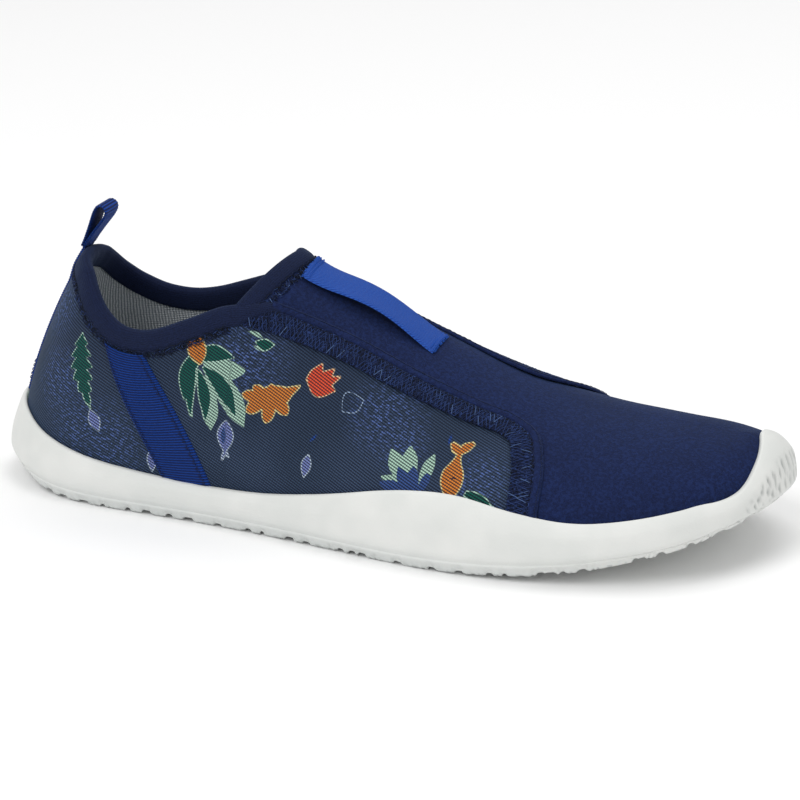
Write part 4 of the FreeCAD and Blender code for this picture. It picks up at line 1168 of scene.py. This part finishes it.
def make_sole():
    """The rubber cup, from the middle of the tread out, up the wall, over the rim and down inside."""
    x = middle_x(sole_s, -98, 100)
    spine = flat_ring(x, np.interp(x, SPINE_X, SPINE_Y), 0.0)
    level = tread_z(feather_x(sole_s))
    height = feather_z(sole_s) - level
    rim = rim_h(sole_s)
    lip = 0.9 * np.exp(-(np.minimum(sole_s, STATIONS - sole_s) / 0.45) ** 2)
    edge = offset_ring(sole_s, 0.9, 0)
    bottom = fan(spine, edge, np.concatenate([np.linspace(0, 0.7, 34)[:-1], np.linspace(0.7, 1, 30)]))
    bottom[..., 2] = tread_z(bottom[..., 0])
    rings = [offset_ring(sole_s, out, level + share * height + more) for out, share, more in (
        (0.9, 0, 0), (2.0, 0, 0.9), (2.7, 0.16, 1), (3.25, 0.32, 0.8), (3.1, 0.42, 0.6), (3.7, 0.62, 0),
        (4.0, 0.88, 0))]
    rings += [skin(sole_s, rim * share, out + more * lip) for share, out, more in (
        (0.35, 3.6, 0), (0.65, 2.9, 0), (0.88, 2.2, 0.6), (0.97, 1.75, 1), (1.0, 1.15, 1), (0.995, 0.5, 0.5),
        (0.97, 0.12, 0))]
    wall = through_rings(rings)

    # Cross grooves run out through the lower wall as notches, with fine nicks between them.
    travelled = distances(edge)[:, None]
    above = wall[..., 2] - level[:, None]
    nick = (travelled / 2.7 + 0.4 * np.sin(0.71 * travelled)) % 1
    nick = np.clip((0.17 - np.abs(nick - 0.5)) / 0.07, 0, 1) * (0.45 + 0.3 * np.sin(0.37 * travelled))
    cut = np.maximum(groove_depth(wall[..., 0], wall[..., 1]), nick)
    wall[..., 2] += np.maximum(cut - above, 0) * (above < 2.4)
    lug_wall = np.clip(1 - np.abs(above - 2.0) / 2.0, 0, 1) * (cut > 0.7)
    wall -= feather_out(sole_s)[:, None] * (0.5 * lug_wall)[..., None]
    cut = groove_depth(bottom[..., 0], bottom[..., 1])
    cut[:, -2:] = np.maximum(cut[:, -2:], nick)
    bottom[..., 2] += cut
    pressed = toe_slashes(wall, above, rim, travelled)
    inward = feather_out(sole_s)[:, None] * 0.75 + np.array([0, 0, 0.5])
    wall -= inward * (0.8 * pressed)[..., None]

    inside = [skin(sole_s, rim * 0.5, 0.12), offset_ring(sole_s, 0.12, feather_z(sole_s)),
              offset_ring(sole_s, 0.0, feather_z(sole_s) - 1.5)]
    floor = fan(spine, inside[-1], np.linspace(1, 0, 8)[1:])
    floor[..., 2] = np.interp(floor[..., 0], foot_x, foot_z) - 1.5
    columns = np.concatenate([bottom, wall[:, 1:], np.stack(inside, 1), floor], 1)
    # Painted shade for the rubber: the pressed toe slashes and the nicks low on the wall are darkened
    # through the pressed attribute.
    shade = np.zeros(columns.shape[:2])
    nick_shade = 0.8 * (nick > 0.2) * (above < 1.2)
    shade[:, bottom.shape[1]:bottom.shape[1] + wall.shape[1] - 1] = np.maximum(pressed, nick_shade)[:, 1:]
    add_piece("sole_unit", *closed_grid(columns), rubber, "outsole", ["outsole"],
              values={"pressed": shade.ravel()}, weld=True)


make_sole()


# ---- board and footbed ----
def foot_slab(name, inset, low, high, material, slot, nodes, crown=0.0):
    """A closed sheet shaped like the foot, between two heights over the feather line."""
    s = np.linspace(0, STATIONS, 400, endpoint=False)
    x = middle_x(s, -96, 98)
    spine_x = middle_x(sole_s, -98, 100)
    order = np.argsort(spine_x)
    middle = flat_ring(x, np.interp(x, spine_x[order], np.interp(spine_x, SPINE_X, SPINE_Y)[order]), 0.0)
    shares = np.linspace(0, 1, 24)
    grids = []
    for base in (high, low):
        grid = fan(middle, offset_ring(s, -inset, 0), shares)
        grid[..., 2] = np.interp(grid[..., 0], foot_x, foot_z) + base
        grids.append(grid)
    grids[0][..., 2] += crown * shares ** 3 - 0.5 * np.clip((shares - 0.94) / 0.06, 0, 1) ** 2
    columns = np.concatenate([grids[0], grids[1][:, ::-1]], 1)
    add_piece(name, *closed_grid(columns), material, slot, nodes, weld=True)


foot_slab("lasting_board", 0.4, -1.2, -0.02, board, "board", ["strobel_board"])
foot_slab("footbed_pad", 4.6, 0.15, 3.4, footbed_cloth, "footbed", ["footbed"], 0.9)


# ---- studio, in metres ----
CAMERA_ANGLES = (22, 20, -1)
CAMERA_AIM, CAMERA_SHIFT = Vector((0, 0, 0.042)), (0.00737, -0.00577)
LENS, SENSOR = 140.4, 36.0


def make_camera():
    azimuth, elevation, roll = (math.radians(angle) for angle in CAMERA_ANGLES)
    level = math.cos(elevation)
    back = Vector((math.sin(azimuth) * level, -math.cos(azimuth) * level, math.sin(elevation)))
    right = Vector((math.cos(azimuth), math.sin(azimuth), 0))
    up = back.cross(right)
    rolled_right = right * math.cos(roll) + up * math.sin(roll)
    rolled_up = up * math.cos(roll) - right * math.sin(roll)
    aim = CAMERA_AIM + rolled_right * CAMERA_SHIFT[0] + rolled_up * CAMERA_SHIFT[1]
    data = bpy.data.cameras.new("view")
    data.lens, data.sensor_width = LENS, SENSOR
    camera = bpy.data.objects.new("view", data)
    rotation = Matrix((rolled_right, rolled_up, back)).transposed().to_4x4()
    camera.matrix_world = Matrix.Translation(aim + back) @ rotation
    bpy.context.scene.collection.objects.link(camera)
    bpy.context.scene.camera = camera


def make_light(name, place, size, power):
    data = bpy.data.lights.new(name, "AREA")
    data.shape, data.size, data.energy = "DISK", size, power
    lamp = bpy.data.objects.new(name, data)
    lamp.location = place
    lamp.rotation_euler = (Vector((0, 0, 0.03)) - Vector(place)).to_track_quat("-Z", "Y").to_euler()
    bpy.context.scene.collection.objects.link(lamp)


def make_floor(size=6.0):
    m = Shader("studio_floor")
    material = m.finish(linear(250, 250, 250), m.noise(0.2, 1), 0.0, 0.95)
    mesh = bpy.data.meshes.new("floor")
    corners = [(x * size, y * size, 0) for x, y in ((-1, -1), (1, -1), (1, 1), (-1, 1))]
    mesh.from_pydata(corners, [], [(0, 1, 2, 3)])
    mesh.materials.append(material)
    floor = bpy.data.objects.new("floor", mesh)
    bpy.context.scene.collection.objects.link(floor)


make_camera()
make_floor()
make_light("key", (-0.5, -1.1, 1.5), 1.2, 13)
make_light("fill", (1.3, -0.8, 0.9), 1.2, 2.6)
make_light("top", (0.2, 0.5, 1.7), 1.4, 10)
world = bpy.data.worlds.new("studio")
world.use_nodes = True
world.node_tree.nodes["Background"].inputs[0].default_value = (1, 1, 1, 1)
world.node_tree.nodes["Background"].inputs[1].default_value = 0.58
bpy.context.scene.world = world
bpy.context.scene.view_settings.view_transform = "Standard"
